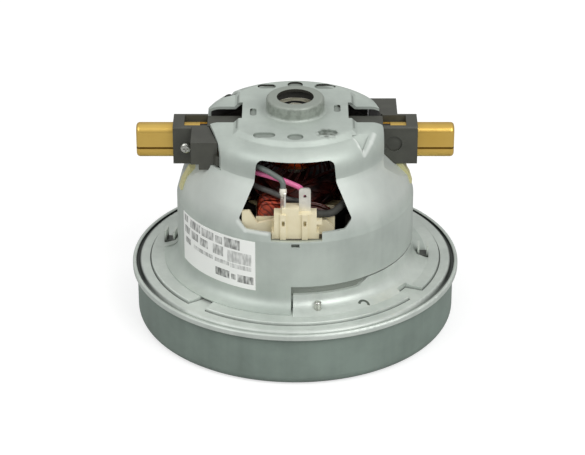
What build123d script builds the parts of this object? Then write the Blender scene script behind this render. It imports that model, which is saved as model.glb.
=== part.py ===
from build123d import *
import math
import os

os.makedirs("parts", exist_ok=True)

# Vacuum motor unit. Origin: centre of the drum's underside. +Z is the motor axis, pointing at the
# upper bearing. The front, with the terminals, faces -Y, and the brush holders lie along X.

# Sheet, fits and overrun
sheet = 1.2
press_gap = 0.05
slide_gap = 0.1
loose_gap = 0.3
cut_over = 3.0

# Housing wall and drum: the fan cover with its rolled lip is wider than the housing by a step
frame_radius = 50.6
drum_step = 17.9
drum_radius = frame_radius + drum_step
drum_corner = 4.0
lip_reach = 2.0
lip_radius = drum_radius + lip_reach
lip_top = 25.0
lip_bead = 2.5
bead_width = 1.7
rim_sheet = 0.8
eye_radius = 19.0
eye_rise = 3.6
groove_radius = 29.0
groove_width = 3.0
groove_depth = 0.5

# Lower bracket: plate in the drum's mouth
plate_top = 25.4
plate_edge_round = 1.6
plate_groove_width = 1.1
plateau_inset = 6.1
plateau_radius = drum_radius - plateau_inset
plateau_top = 26.6
rim_drop = 8.0
notch_depth = 7.4
notch_width = 10.2
notch_inner_width = 6.4
outline_groove = 0.6
notch_left_angle = -41.0
notch_right_angle = 54.2
hem_thickness = 2.4
hem_top = 32.0
centre_plate_top = 23.8
window_inner = 15.0
window_rim = 4.7
window_count = 6
window_spoke_angle = 16.0
apron_reach = 6.9
apron_foot_radius = frame_radius + apron_reach
apron_top = 36.2
apron_low_top = 33.2
apron_start_angle = -1.0
apron_step_angle = 31.0
apron_end_angle = 86.0
apron_ramp_angle = 6.0

# Motor frame
frame_slot_top = 36.8
crease_z = 57.0
neck_inset = 9.6
neck_radius = frame_radius - neck_inset
neck_z = 80.0
neck_round = 8.0
flat_inset = 4.0
flat_x = neck_radius - flat_inset
flat_z = 77.3
flat_lean_angle = 44.2
flat_round = 3.0
bridge_side_inset = 13.4
bridge_half = flat_x - bridge_side_inset
platform_top = 92.0
bridge_inset = 10.5
bridge_radius = neck_radius - bridge_inset
bridge_top = 94.0
bridge_slope = 2.2
foot_reach = 5.9
foot_radius = frame_radius + foot_reach
foot_edge = 0.5
foot_bend = 4.8
cup_top = 100.2
cup_hole = 7.8
cup_round = 1.2
shoulder_bend = 2.0
shoulder_middle_inset = 2.6
shoulder_middle_radius = frame_radius - shoulder_middle_inset
shoulder_middle_z = 66.5
shoulder_middle_bend = 25.0
gusset_rise = 1.3
gusset_ring = bridge_radius + gusset_rise
gusset_depth = 1.3
gusset_skew = 3.6
gusset_left_angle = 47.0
gusset_right_angle = 61.0
gusset_tip_angle = 43.5

# Ball bearings, common size 608
bearing_outer = 11.0
bearing_bore = 4.0
bearing_width = 7.0
outer_land = 9.3
inner_land = 6.1
ball_radius = 1.95
ball_count = 7
cage_height = 3.4
cage_drop = 2.3
cage_thickness = 1.4
shield_thickness = 0.3
cushion_height = 3.4

# Rotor
shaft_bottom = 3.8
shaft_top = 95.2
shaft_body_radius = 5.0
stack_height = 25.0
armature_share = 0.4723
armature_radius = armature_share * frame_radius
armature_slots = 12
slot_cover = 2.5
slot_outer = armature_radius - slot_cover
slot_depth = 8.4
slot_inner = slot_outer - slot_depth
slot_width = 3.6
slot_mouth = 1.8
insulator_thickness = 0.5
crown_inset = 1.7
crown_radius = armature_radius - crown_inset
crown_top = 70.5
crown_bottom = 25.2
crown_round = 4.0
end_wire_radius = 0.4
end_wire_waves = 24
end_wire_bend = 0.8
commutator_radius = 11.0
commutator_bottom = 72.3
commutator_top = 87.3
commutator_hub_radius = 7.5
bar_count = 24
bar_gap = 0.5
riser_radius = 12.6
riser_height = 1.2
lead_wire_radius = 0.35

# Impeller and diffuser
impeller_rim_gap = 9.8
impeller_radius = drum_radius - sheet - impeller_rim_gap
impeller_sheet = 0.9
impeller_front_z = 2.7
impeller_height = 9.7
impeller_eye = 21.5
vane_count = 9
vane_thickness = 0.8
vane_sweep = 62.0
nut_across = 13.0
nut_height = 6.0
washer_radius = 10.0
washer_thickness = 1.2
seal_radius = 24.0
seal_thickness = 1.0
spacer_radius = 5.6
diffuser_plate = 1.5
diffuser_rim_gap = 4.5
diffuser_hub = 1.5
return_vane_count = 13
return_vane_thickness = 1.4
return_vane_sweep = 48.0
diffuser_drop = 0.8

# Stator
stator_flat = 4.1
air_gap = 0.5
pole_half_width = 12.0
shoe_thickness = 3.2
shoe_half_angle = 58.0
side_yoke = 9.0
side_window_y = 24.0
coil_window_x = 21.0
front_yoke = 9.9
bobbin_wall = 1.0
bobbin_shoe_gap = 0.6
bobbin_flange_out = 5.4
bobbin_flange_side = 3.2
coil_build = 4.9
coil_side_build = 2.0
coil_top_build = 12.0
coil_top_slope = 6.0
coil_outer_round = 4.0
coil_wire_radius = 0.45
coil_pitch = 1.36

# Terminal block and terminals
block_width = 17.5
block_base_width = 19.5
block_base_top = 60.0
block_peg = 2.2
block_inset = 4.6
block_front = frame_radius - block_inset
block_top = 68.2
block_middle_top = 70.6
block_middle_width = 11.0
flange_left_reach = 22.0
flange_right_reach = 16.0
flange_thickness = 1.6
flange_top = 63.6
flange_tip_rise = 4.0
tab_width = 4.8
tab_thickness = 0.8
tab_left_x = -5.0
tab_left_angle = 18.0
tab_right_x = 3.9
tab_inset = 3.4
tab_y = block_front - tab_inset
tab_left_top = 77.6
tab_right_top = 78.6
tab_hole = 0.7
tab_hole_drop = 3.6
tab_depth = 6.0

# Front and rear windows in the frame
window_top = 88.5
window_top_half = 15.9
window_waist = 79.0
window_waist_half = 16.8
window_low_half = 23.3
window_low = 64.6
window_bottom = 60.9
window_round = 3.0
window_notch_bottom = 57.6
window_dent_z = 56.0
window_dent_width = 3.4
window_dent_height = 1.7
window_notch_right = 11.0

# Brush gear along X
brush_width = 6.4
brush_height = 13.2
brush_length = 31.0
brush_z = 80.5
tube_wall = 0.7
tube_round = 3.4
tube_tip_round = 1.5
tube_seam_z = 77.7
tube_seam_width = 0.9
tube_seam_depth = 0.5
tube_start = 13.6
holder_reach = 0.9
holder_face = frame_radius + holder_reach
tube_reach = 15.7
tube_end = holder_face + tube_reach
holder_half = 7.0
holder_top = 89.3
holder_bottom = 72.1
holder_round = 0.6
brush_round = 2.5
sleeve_start = 20.0
sleeve_wall = 1.0
ear_inset = 4.7
ear_inner = flat_x - ear_inset
ear_length = 11.1
ear_outer = ear_inner + ear_length
ear_shoulder_inset = 0.8
ear_reach = 22.4
ear_bottom = 79.4
lug_width = 4.6
lug_drop = 2.4
view_slot_inset = 4.7
view_slot_end = holder_face - view_slot_inset
view_slot_half = 5.0
feed_slot_start = flat_x - flat_inset
feed_slot_length = 7.2
feed_slot_end = feed_slot_start + feed_slot_length
feed_slot_half = 1.8
recess_inset = 9.9
recess_x = holder_face - recess_inset
recess_z = 81.6
recess_radius = 3.4
recess_depth = 0.8
screw_inset = 5.4
screw_x = holder_face - screw_inset
screw_z = 79.9
screw_head_radius = 2.4
screw_head_height = 1.6
screw_dome_share = 0.8
screw_shank_radius = 1.2
screw_shank_length = 2.0
slot_inner_x = 22.3
slot_half = 7.9
spring_wire = 0.35
spring_radius = 2.5
spring_turns = 9
strip_width = 4.4
strip_left_angle = -78.5
strip_right_angle = 86.0
strip_thickness = 0.7
strip_flare = 1.2
strip_top_z = 72.0
strip_bottom_z = 62.4

# Label, flange screw and clips
label_start_angle = -68.0
label_end_angle = -19.0
label_low = 33.8
label_high = 56.4
label_thickness = 0.15
flange_screw_radius = 1.5
flange_screw_angle = 10.0
flange_screw_gap = 2.8
flange_screw_ring = frame_radius + flange_screw_gap
flange_screw_height = 4.6
clip_left_angle = -101.0
clip_right_angle = 87.0
clip_gap = 2.4
clip_ring = frame_radius + clip_gap
clip_depth = 4.8
clip_width = 5.0
clip_height = 5.4
clip_thickness = 0.9

# Leads
lead_radius = 1.15
sleeve_radius = 1.5
bend_share = 0.45

# Turns and shares used by the shapes below
full_turn = 360.0
half_turn_angle = 180.0
quarter_turn = 90.0
angle_over = 1.0
upright = (Align.CENTER, Align.CENTER, Align.MIN)


def polar(radius, angle, height=0):
    """Point at a radius and an angle, counted from the front (-Y) towards +X."""
    turn = math.radians(angle)
    return Vector(radius * math.sin(turn), -radius * math.cos(turn), height)


def ring(outer, inner, low, high):
    """Upright ring, or a disc where the inner radius is zero."""
    body = Pos(0, 0, low) * Cylinder(outer, high - low, align=upright)
    if inner > 0:
        bore_length = high - low + 2 * cut_over
        body -= Pos(0, 0, low - cut_over) * Cylinder(inner, bore_length, align=upright)
    return body


def block(x_low, x_high, y_low, y_high, z_low, z_high):
    """Box between two corners."""
    centre = Pos((x_low + x_high) / 2, (y_low + y_high) / 2, (z_low + z_high) / 2)
    return centre * Box(x_high - x_low, y_high - y_low, z_high - z_low)


def turned(corners, rounds):
    """Solid turned about the motor axis from (radius, height) corners and their roundings."""
    points = [(radius, 0, height) for radius, height in corners]
    outline = FilletPolyline(points, radius=rounds, close=True)
    return revolve(make_face(outline), Axis.Z, full_turn)


def sector(start, end, inner, outer, low, high):
    """Part of a ring between two angles counted from the front."""
    corners = [(inner, 0, low), (outer, 0, low), (outer, 0, high), (inner, 0, high)]
    wedge = revolve(make_face(Polyline(corners, close=True)), Axis.Z, end - start)
    return Rot(0, 0, start - quarter_turn) * wedge


def turned_copies(shape, count):
    """Copies of a shape spread evenly round the motor axis."""
    return [Rot(0, 0, index * full_turn / count) * shape for index in range(count)]


def opposite(shape):
    """The shape on the far side of the motor axis."""
    return Rot(0, 0, half_turn_angle) * shape


def joined(shapes):
    """One solid or compound from several shapes."""
    total = shapes[0]
    for shape in shapes[1:]:
        total = total + shape
    return total


def tube(path, radius):
    """Round wire along a path."""
    start = Plane(origin=path @ 0, z_dir=path % 0)
    return sweep(start * Circle(radius), path=path)


def least_gap(path, radius, turn_length):
    """Least clear distance between the turns of a wire, measured on points along it."""
    count = math.ceil(path.length / radius)
    places = [tuple(path @ (index / count)) for index in range(count + 1)]
    apart = math.ceil(turn_length / 2 / radius)
    gap = path.length
    for index, place in enumerate(places):
        for other in places[index + apart :]:
            gap = min(gap, math.dist(place, other))
    return round(gap - 2 * radius, 2)


def save(name, shapes):
    """Write one sub-part, which may hold several separate solids."""
    solids = []
    for shape in shapes:
        solids.extend(shape.solids())
    whole = solids[0] if len(solids) == 1 else Compound(children=solids)
    export_step(whole, "parts/" + name + ".step")


# Fan cover: deep-drawn drum with the inlet eye in its floor and a short flange round its mouth
drum_inner = drum_radius - sheet
lip_bottom = lip_top - lip_bead
bead_inner = lip_radius - bead_width
hook_inner = lip_radius - rim_sheet
flange_outer = hook_inner - press_gap
flange_low = lip_bottom - rim_sheet / 2
flange_high = flange_low + rim_sheet
groove_floor = flange_high + press_gap + rim_sheet
bead_round_share = 0.46
bead_round = bead_round_share * bead_width


def fan_cover():
    corners = [
        (eye_radius, eye_rise),
        (eye_radius, 0),
        (drum_radius, 0),
        (drum_radius, flange_low),
        (flange_outer, flange_low),
        (flange_outer, flange_high),
        (drum_inner, flange_high),
        (drum_inner, sheet),
        (eye_radius + sheet, sheet),
        (eye_radius + sheet, eye_rise),
    ]
    rounds = [0, 2 * sheet, drum_corner, 0, 0, 0, 0, drum_corner - sheet, sheet, 0]
    drum = turned(corners, rounds)
    groove_outer = groove_radius + groove_width
    return drum - ring(groove_outer, groove_radius, -cut_over, groove_depth)


save("fan_cover", [fan_cover()])

# Inlet seal: fibre ring round the inlet neck that keeps air from going round the impeller
save("inlet_seal", [ring(seal_radius, eye_radius + 2 * sheet, sheet, sheet + seal_thickness)])

# Impeller: two flat discs with curved vanes between them, clamped on the shaft by washers and nut
front_disc_top = impeller_front_z + impeller_sheet
back_disc_top = impeller_front_z + impeller_height
back_disc_bottom = back_disc_top - impeller_sheet
vane_rim_gap = impeller_sheet
vane_mid_share = 0.42


def curved_blade(inner, outer, sweep_angle, thickness, low, high):
    """Blade that curves backwards from its inner end to its outer end."""
    middle = polar((inner + outer) / 2, vane_mid_share * sweep_angle)
    line = ThreePointArc(polar(inner, 0), middle, polar(outer, sweep_angle))
    return Pos(0, 0, low) * extrude(trace(line, thickness), high - low)


vane = curved_blade(
    impeller_eye + vane_rim_gap,
    impeller_radius - vane_rim_gap,
    vane_sweep,
    vane_thickness,
    front_disc_top,
    back_disc_bottom,
)
save("impeller_front_disc", [ring(impeller_radius, impeller_eye, impeller_front_z, front_disc_top)])
save("impeller_back_disc", [ring(impeller_radius, bearing_bore, back_disc_bottom, back_disc_top)])
save("impeller_vanes", turned_copies(vane, vane_count))

lower_washer_bottom = back_disc_bottom - washer_thickness
upper_washer_top = back_disc_top + washer_thickness
save("clamp_washer_lower", [ring(washer_radius, bearing_bore, lower_washer_bottom, back_disc_bottom)])
save("clamp_washer_upper", [ring(washer_radius, bearing_bore, back_disc_top, upper_washer_top)])

nut_bottom = lower_washer_bottom - nut_height
nut_prism = extrude(RegularPolygon(nut_across / 2, 6, major_radius=False), nut_height)
nut_blank = Pos(0, 0, nut_bottom) * nut_prism
nut_bore = ring(bearing_bore, 0, nut_bottom - cut_over, lower_washer_bottom + cut_over)
save("impeller_nut", [nut_blank - nut_bore])

# Lower bearing place: the bearing hangs in a cup under the bracket's centre plate
centre_plate_bottom = centre_plate_top - sheet
bearing_sink = 0.4
lower_bearing_top = centre_plate_top - bearing_sink
lower_bearing_bottom = lower_bearing_top - bearing_width
cup_inner = bearing_outer + press_gap
cup_outer = cup_inner + sheet
save("shaft_spacer", [ring(spacer_radius, bearing_bore, upper_washer_top, lower_bearing_bottom)])

# Diffuser: moulded plate over the impeller whose return vanes lead the air back to the middle
diffuser_bottom = back_disc_top + diffuser_drop
diffuser_plate_top = diffuser_bottom + diffuser_plate
diffuser_bore = cup_outer + loose_gap
diffuser_hub_radius = diffuser_bore + diffuser_hub
bracket_rim_outer = drum_inner - slide_gap
bracket_rim_inner = bracket_rim_outer - sheet
diffuser_radius = bracket_rim_inner - diffuser_rim_gap


def diffuser():
    plate = ring(diffuser_radius, diffuser_bore, diffuser_bottom, diffuser_plate_top)
    hub = ring(diffuser_hub_radius, diffuser_bore, diffuser_bottom, centre_plate_bottom)
    blade = curved_blade(
        diffuser_hub_radius + return_vane_thickness,
        bracket_rim_inner - 2 * return_vane_thickness,
        return_vane_sweep,
        return_vane_thickness,
        diffuser_bottom,
        centre_plate_bottom,
    )
    return joined([plate + hub] + turned_copies(blade, return_vane_count))


save("diffuser", [diffuser()])

# Lower bracket: pressed plate in the drum's mouth, with a raised centre, a hem that carries the
# stator, a windowed centre plate with the bearing cup, and two aprons under the frame's open wall
frame_inner = frame_radius - sheet
hem_outer = frame_inner - loose_gap
hem_inner = hem_outer - hem_thickness
window_outer = hem_inner - window_rim
plate_bottom = plate_top - sheet
cup_seat_hole = cup_hole


def bracket_profile():
    corners = [
        (bracket_rim_outer, plate_top - rim_drop),
        (bracket_rim_outer, groove_floor - rim_sheet),
        (hook_inner, groove_floor - rim_sheet),
        (hook_inner, lip_bottom),
        (lip_radius, lip_bottom),
        (lip_radius, lip_top),
        (bead_inner, lip_top),
        (bead_inner, groove_floor),
        (bead_inner - plate_groove_width, groove_floor),
        (bead_inner - plate_groove_width, plate_top),
        (plateau_radius + outline_groove, plate_top),
        (plateau_radius + outline_groove, plate_top - outline_groove),
        (plateau_radius, plate_top - outline_groove),
        (plateau_radius, plateau_top),
        (hem_outer, plateau_top),
        (hem_outer, hem_top),
        (hem_inner, hem_top),
        (hem_inner, centre_plate_top),
        (cup_inner, centre_plate_top),
        (cup_inner, lower_bearing_bottom),
        (cup_seat_hole, lower_bearing_bottom),
        (cup_seat_hole, lower_bearing_bottom - sheet),
        (cup_outer, lower_bearing_bottom - sheet),
        (cup_outer, centre_plate_bottom),
        (hem_outer - sheet, centre_plate_bottom),
        (hem_outer - sheet, plate_top),
        (plateau_radius - sheet, plate_top),
        (plateau_radius - sheet, plate_bottom - outline_groove),
        (plateau_radius + sheet, plate_bottom - outline_groove),
        (plateau_radius + sheet, plate_bottom),
        (bracket_rim_inner, plate_bottom),
        (bracket_rim_inner, plate_top - rim_drop),
    ]
    rounds = [0, 0, 0, 0, bead_round / 2, bead_round, bead_round, 0, 0, plate_edge_round]
    rounds += [0, 0, 0, sheet / 3, 0, sheet / 3, sheet / 3, 0, 0, 0]
    rounds += [0, 0, sheet, 0, 0, 0, 0, 0, 0, 0, 0, 0]
    return turned(corners, rounds)


def ramp_cut():
    """Wedge above the slope between the apron's low and high parts."""
    half = math.radians(apron_ramp_angle / 2) * frame_radius
    high = apron_top + cut_over
    corners = [
        (-half - cut_over, apron_low_top),
        (-half, apron_low_top),
        (half, apron_top),
        (half, high),
        (-half - cut_over, high),
    ]
    near = hem_outer - sheet
    points = [(x, -near, height) for x, height in corners]
    length = apron_foot_radius + cut_over - near
    wedge = extrude(make_face(Polyline(points, close=True)), length, dir=(0, -1, 0))
    return Rot(0, 0, apron_step_angle + apron_ramp_angle / 2) * wedge


def apron():
    """Raised skirt of the bracket that meets the frame's wall, lower where the air leaves."""
    corners = [
        (apron_foot_radius, 0, plateau_top),
        (frame_radius, 0, plateau_top + foot_bend / 2),
        (frame_radius, 0, apron_top),
        (hem_outer, 0, apron_top),
        (hem_outer, 0, plateau_top),
    ]
    outline = FilletPolyline(corners, radius=[0, foot_bend, 0, 0, 0], close=True)
    sweep_angle = apron_end_angle - apron_start_angle
    skirt = revolve(make_face(outline), Axis.Z, sweep_angle)
    skirt = Rot(0, 0, apron_start_angle - quarter_turn) * skirt
    skirt -= sector(
        apron_start_angle - angle_over,
        apron_step_angle,
        hem_outer - sheet,
        apron_foot_radius + cut_over,
        apron_low_top,
        apron_top + cut_over,
    )
    skirt -= ramp_cut()
    return skirt


def notch_prism(shrink, reach, low, high):
    """Upright block in the plan of a notch, smaller all round, out to a given radius."""
    mouth = notch_width / 2 - shrink
    narrow = notch_inner_width / 2 - shrink
    inner = plateau_radius - notch_depth + shrink
    outer = plateau_radius + cut_over
    right = [(mouth, -outer), (mouth, -plateau_radius), (narrow, -inner)]
    left = [(-x, y) for x, y in reversed(right)]
    plan = make_face(Polyline(right + left, close=True))
    body = Pos(0, 0, low) * extrude(plan, high - low, dir=(0, 0, 1))
    return body & ring(reach, 0, low, high)


def bracket_notch(angle):
    """Floor and cut of one pressed notch in the raised centre's edge, with a groove round it."""
    step = plate_top - outline_groove
    groove_outer = plateau_radius + outline_groove
    floor = notch_prism(-sheet, plateau_radius - sheet / 2, plate_bottom, plate_top)
    floor += notch_prism(outline_groove, groove_outer + sheet / 2, plate_bottom, plate_top)
    cut = notch_prism(0, plateau_radius + cut_over, plate_top, plateau_top + cut_over)
    line = notch_prism(0, groove_outer, step, plate_top)
    line -= notch_prism(outline_groove, plateau_radius + cut_over, step, plate_top)
    return Rot(0, 0, angle) * floor, Rot(0, 0, angle) * (cut + line)


# Side clips: bent strips that stand on the bracket's raised centre, in notches of the frame's foot
def flange_clip(angle, room):
    """One clip, or the space it needs in the foot where there is room round it."""
    half = clip_width / 2 + room
    inner = clip_ring - room
    outer = clip_ring + clip_depth + room
    body = block(-half, half, -outer, -inner, plateau_top, plateau_top + clip_height)
    if room == 0:
        gap_top = plateau_top + clip_height + cut_over
        gap_low = plateau_top + clip_thickness
        gap_outer = outer - clip_thickness
        gap_inner = inner + clip_thickness
        body -= block(-half - cut_over, half + cut_over, -gap_outer, -gap_inner, gap_low, gap_top)
    return Rot(0, 0, angle) * body


save("flange_clips", [flange_clip(clip_left_angle, 0), flange_clip(clip_right_angle, 0)])

# Flange screws: short studs that stand on the bracket's raised centre, front right and rear left
def flange_screw(radius):
    place = polar(flange_screw_ring, flange_screw_angle, plateau_top)
    body = Cylinder(radius, flange_screw_height, align=upright)
    body = fillet(body.edges().group_by(Axis.Z)[-1], radius / 2)
    return Pos(place) * body


save("flange_screws", [flange_screw(flange_screw_radius), opposite(flange_screw(flange_screw_radius))])


def lower_bracket():
    body = bracket_profile()
    skirt = apron() - flange_screw(flange_screw_radius + press_gap)
    body = body + skirt + opposite(skirt)
    for angle in (clip_left_angle, clip_right_angle):
        body -= flange_clip(angle, loose_gap)
    for angle in (notch_left_angle, notch_right_angle):
        floor, cut = bracket_notch(angle)
        body = body + floor + opposite(floor) - cut - opposite(cut)
    half_window = (full_turn / window_count - window_spoke_angle) / 2
    window = sector(
        -half_window,
        half_window,
        window_inner,
        window_outer,
        centre_plate_bottom - cut_over,
        centre_plate_top + cut_over,
    )
    for cut in turned_copies(window, window_count):
        body -= cut
    return body


save("lower_bracket", [lower_bracket()])

# Ball bearings
race_radius = (outer_land + inner_land) / 2
groove_ball = ball_radius + press_gap
upper_bearing_top = cup_top - sheet - cushion_height
upper_bearing_bottom = upper_bearing_top - bearing_width


def bearing(name, low):
    """Outer ring, inner ring, caged balls and shields of one bearing that starts at a height."""
    middle = low + bearing_width / 2
    high = low + bearing_width
    race = Pos(0, 0, middle) * Torus(race_radius, groove_ball)
    save(name + "_outer_ring", [ring(bearing_outer, outer_land, low, high) - race])
    save(name + "_inner_ring", [ring(inner_land, bearing_bore, low, high) - race])
    cage_outer = race_radius + cage_thickness / 2
    cage_inner = race_radius - cage_thickness / 2
    cage = ring(cage_outer, cage_inner, middle - cage_drop, middle - cage_drop + cage_height)
    place = polar(race_radius, 0, middle)
    for pocket in turned_copies(Pos(place) * Sphere(groove_ball), ball_count):
        cage -= pocket
    balls = turned_copies(Pos(place) * Sphere(ball_radius), ball_count)
    save(name + "_balls", [cage] + balls)
    shield_inner = inner_land + loose_gap
    lower_shield = ring(outer_land, shield_inner, low + slide_gap, low + slide_gap + shield_thickness)
    upper_shield = ring(outer_land, shield_inner, high - slide_gap - shield_thickness, high - slide_gap)
    save(name + "_shields", [lower_shield, upper_shield])


bearing("lower_bearing", lower_bearing_bottom)
bearing("upper_bearing", upper_bearing_bottom)
# Bearing cushion: rubber ring between the upper bearing and the cup's top
cushion_top = upper_bearing_top + cushion_height
save("bearing_cushion", [ring(bearing_outer, outer_land, upper_bearing_top, cushion_top)])

# Shaft: bearing seats at both ends and a thicker body between them
def shaft():
    corners = [
        (0, shaft_bottom),
        (bearing_bore, shaft_bottom),
        (bearing_bore, lower_bearing_top),
        (shaft_body_radius, lower_bearing_top),
        (shaft_body_radius, upper_bearing_bottom),
        (bearing_bore, upper_bearing_bottom),
        (bearing_bore, shaft_top),
        (0, shaft_top),
    ]
    end_round = bearing_bore / 8
    return turned(corners, [0, end_round, 0, 0, 0, 0, end_round, 0])


save("shaft", [shaft()])

# Armature: slotted stack, end insulators, winding with its end turns, and wires to the commutator
stack_bottom = hem_top
stack_top = stack_bottom + stack_height
slot_round = slot_width / 3


def slot_shape(shrink):
    """Cross-section of one slot, or of the winding in it where it is shrunk all round."""
    length = slot_outer - slot_inner - 2 * shrink
    width = slot_width - 2 * shrink
    return Pos((slot_outer + slot_inner) / 2, 0) * RectangleRounded(length, width, slot_round - shrink)


def armature_plate(outer):
    """Outline of a lamination with its slots open to the rim."""
    plate = Circle(outer) - Circle(shaft_body_radius)
    mouth_start = slot_outer - slot_round
    mouth_end = armature_radius + cut_over
    mouth = Pos((mouth_start + mouth_end) / 2, 0) * Rectangle(mouth_end - mouth_start, slot_mouth)
    for cut in turned_copies(slot_shape(0), armature_slots):
        plate -= cut
    for cut in turned_copies(mouth, armature_slots):
        plate -= cut
    return plate


stack = extrude(armature_plate(armature_radius), stack_height)
save("armature_core", [Pos(0, 0, stack_bottom) * stack])
insulator = extrude(armature_plate(armature_radius - air_gap), insulator_thickness)
lower_insulator = Pos(0, 0, stack_bottom - insulator_thickness) * insulator
upper_insulator = Pos(0, 0, stack_top) * insulator
save("armature_insulators", [lower_insulator, upper_insulator])

winding_low = stack_bottom - insulator_thickness
winding_high = stack_top + insulator_thickness
crown_inner = shaft_body_radius + press_gap


def armature_winding():
    top_corners = [
        (crown_inner, winding_high),
        (crown_radius, winding_high),
        (crown_radius, crown_top),
        (crown_inner, crown_top),
    ]
    bottom_corners = [
        (crown_inner, winding_low),
        (crown_radius, winding_low),
        (crown_radius, crown_bottom),
        (crown_inner, crown_bottom),
    ]
    rounds = [0, 0, crown_round, 0]
    bar_length = winding_high - winding_low + 2 * sheet
    bar = Pos(0, 0, winding_low - sheet) * extrude(slot_shape(slide_gap), bar_length)
    body = turned(top_corners, rounds) + turned(bottom_corners, rounds)
    return joined([body] + turned_copies(bar, armature_slots))


save("armature_winding", [armature_winding()])

# End wires: the outer layer of the top end turns, one wire that runs up and down round the crown
def end_wires():
    radius = crown_radius + press_gap + end_wire_radius
    low = winding_high + 2 * end_wire_radius
    high = crown_top - crown_round
    points = []
    rise_count = 2 * end_wire_waves - 1
    for index in range(rise_count):
        height = low if index % 2 else high
        points.append(polar(radius, index * half_turn_angle / end_wire_waves, height))
    path = FilletPolyline(points, radius=[end_wire_bend] * (rise_count - 2))
    print("end wire least gap", least_gap(path, end_wire_radius, high - low))
    return tube(path, end_wire_radius)


save("armature_end_wires", [end_wires()])

# Commutator: copper bars on a moulded hub, each with a riser that takes a wire from the winding
hub_low = commutator_bottom - riser_height / 2
hub_high = commutator_top + riser_height / 2
hub_bore = shaft_body_radius + press_gap
save("commutator_hub", [ring(commutator_hub_radius, hub_bore, hub_low, hub_high)])


def commutator_bar():
    riser_top = commutator_bottom + riser_height
    corners = [
        (commutator_hub_radius, 0, commutator_bottom),
        (riser_radius, 0, commutator_bottom),
        (riser_radius, 0, riser_top),
        (commutator_radius, 0, riser_top),
        (commutator_radius, 0, commutator_top),
        (commutator_hub_radius, 0, commutator_top),
    ]
    gap_angle = math.degrees(bar_gap / commutator_radius)
    return revolve(make_face(Polyline(corners, close=True)), Axis.Z, full_turn / bar_count - gap_angle)


save("commutator_bars", turned_copies(commutator_bar(), bar_count))

lead_foot_radius = commutator_radius + riser_height
lead_head_radius = commutator_radius + riser_height / 2
lead_twist_angle = 14.0
lead_straight = 2 * lead_wire_radius
lead_points = [
    polar(lead_foot_radius, 0, crown_top),
    polar(lead_foot_radius, 0, crown_top + lead_straight),
    polar(lead_head_radius, lead_twist_angle, commutator_bottom - lead_straight),
    polar(lead_head_radius, lead_twist_angle, commutator_bottom),
]
lead_line = FilletPolyline(lead_points, radius=[lead_straight] * 2)
save("armature_lead_wires", turned_copies(tube(lead_line, lead_wire_radius), bar_count))

# Stator core: laminated stack with two poles, at the front and the rear
bore_radius = armature_radius + air_gap
shoe_radius = bore_radius + shoe_thickness
stator_half = hem_outer - stator_flat
side_window_x = stator_half - side_yoke
coil_window_y = hem_outer - front_yoke
bobbin_inner_y = shoe_radius + bobbin_shoe_gap


def stator_core():
    cut_low = stack_bottom - cut_over
    cut_high = stack_top + cut_over
    body = ring(hem_outer, 0, stack_bottom, stack_top)
    body = body & block(-stator_half, stator_half, -hem_outer, hem_outer, stack_bottom, stack_top)
    body -= block(-side_window_x, side_window_x, -side_window_y, side_window_y, cut_low, cut_high)
    body -= block(-coil_window_x, coil_window_x, -coil_window_y, coil_window_y, cut_low, cut_high)
    pole = block(-pole_half_width, pole_half_width, -coil_window_y, -bore_radius, stack_bottom, stack_top)
    shoe = sector(-shoe_half_angle, shoe_half_angle, bore_radius, shoe_radius, stack_bottom, stack_top)
    body = body + pole + opposite(pole) + shoe + opposite(shoe)
    return body - ring(bore_radius, 0, cut_low, cut_high)


save("stator_core", [stator_core()])

# Bobbins: moulded sleeves round the poles with a flange at each end
bobbin_gap = slide_gap
bobbin_hole_x = pole_half_width + bobbin_gap
bobbin_hole_low = stack_bottom - bobbin_gap
bobbin_hole_high = stack_top + bobbin_gap
bobbin_outer_y = coil_window_y - bobbin_gap
bobbin_x = bobbin_hole_x + bobbin_wall
bobbin_low = bobbin_hole_low - bobbin_wall
bobbin_high = bobbin_hole_high + bobbin_wall


def bobbin():
    flange_x = bobbin_x + bobbin_flange_side
    flange_low = bobbin_low - coil_build
    flange_high = bobbin_high + bobbin_flange_out
    inner_flange_y = bobbin_inner_y + bobbin_wall
    outer_flange_y = bobbin_outer_y - bobbin_wall
    body = block(-bobbin_x, bobbin_x, -bobbin_outer_y, -bobbin_inner_y, bobbin_low, bobbin_high)
    body += block(-flange_x, flange_x, -inner_flange_y, -bobbin_inner_y, flange_low, flange_high)
    body += block(-flange_x, flange_x, -bobbin_outer_y, -outer_flange_y, flange_low, flange_high)
    return body - block(
        -bobbin_hole_x,
        bobbin_hole_x,
        -bobbin_outer_y - cut_over,
        -bobbin_inner_y + cut_over,
        bobbin_hole_low,
        bobbin_hole_high,
    )


save("bobbin_front", [bobbin()])
save("bobbin_rear", [opposite(bobbin())])

# Field coils: a plain core with an outer layer of one unbroken wire wound round it
coil_gap = press_gap
coil_front_y = bobbin_outer_y - bobbin_wall - coil_gap
coil_back_y = bobbin_inner_y + bobbin_wall + coil_gap
coil_in_x = bobbin_x + coil_gap
coil_in_low = bobbin_low - coil_gap
coil_in_high = bobbin_high + coil_gap
coil_out_x = coil_in_x + coil_side_build
coil_out_low = coil_in_low - coil_build
coil_out_high = coil_in_high + coil_top_build


def rounded_prism(corners, corner_round, near_y, far_y):
    """Rounded block along Y from (x, height) corners, between two distances from the axis."""
    points = [(x, -near_y, height) for x, height in corners]
    outline = FilletPolyline(points, radius=corner_round, close=True)
    return extrude(make_face(outline), far_y - near_y, dir=(0, -1, 0))


def coil_corners(half_x, low, high, slope):
    """Corners of a coil's outline, whose top falls towards the right."""
    return [(-half_x, low), (-half_x, high), (half_x, high - slope), (half_x, low)]


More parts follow.
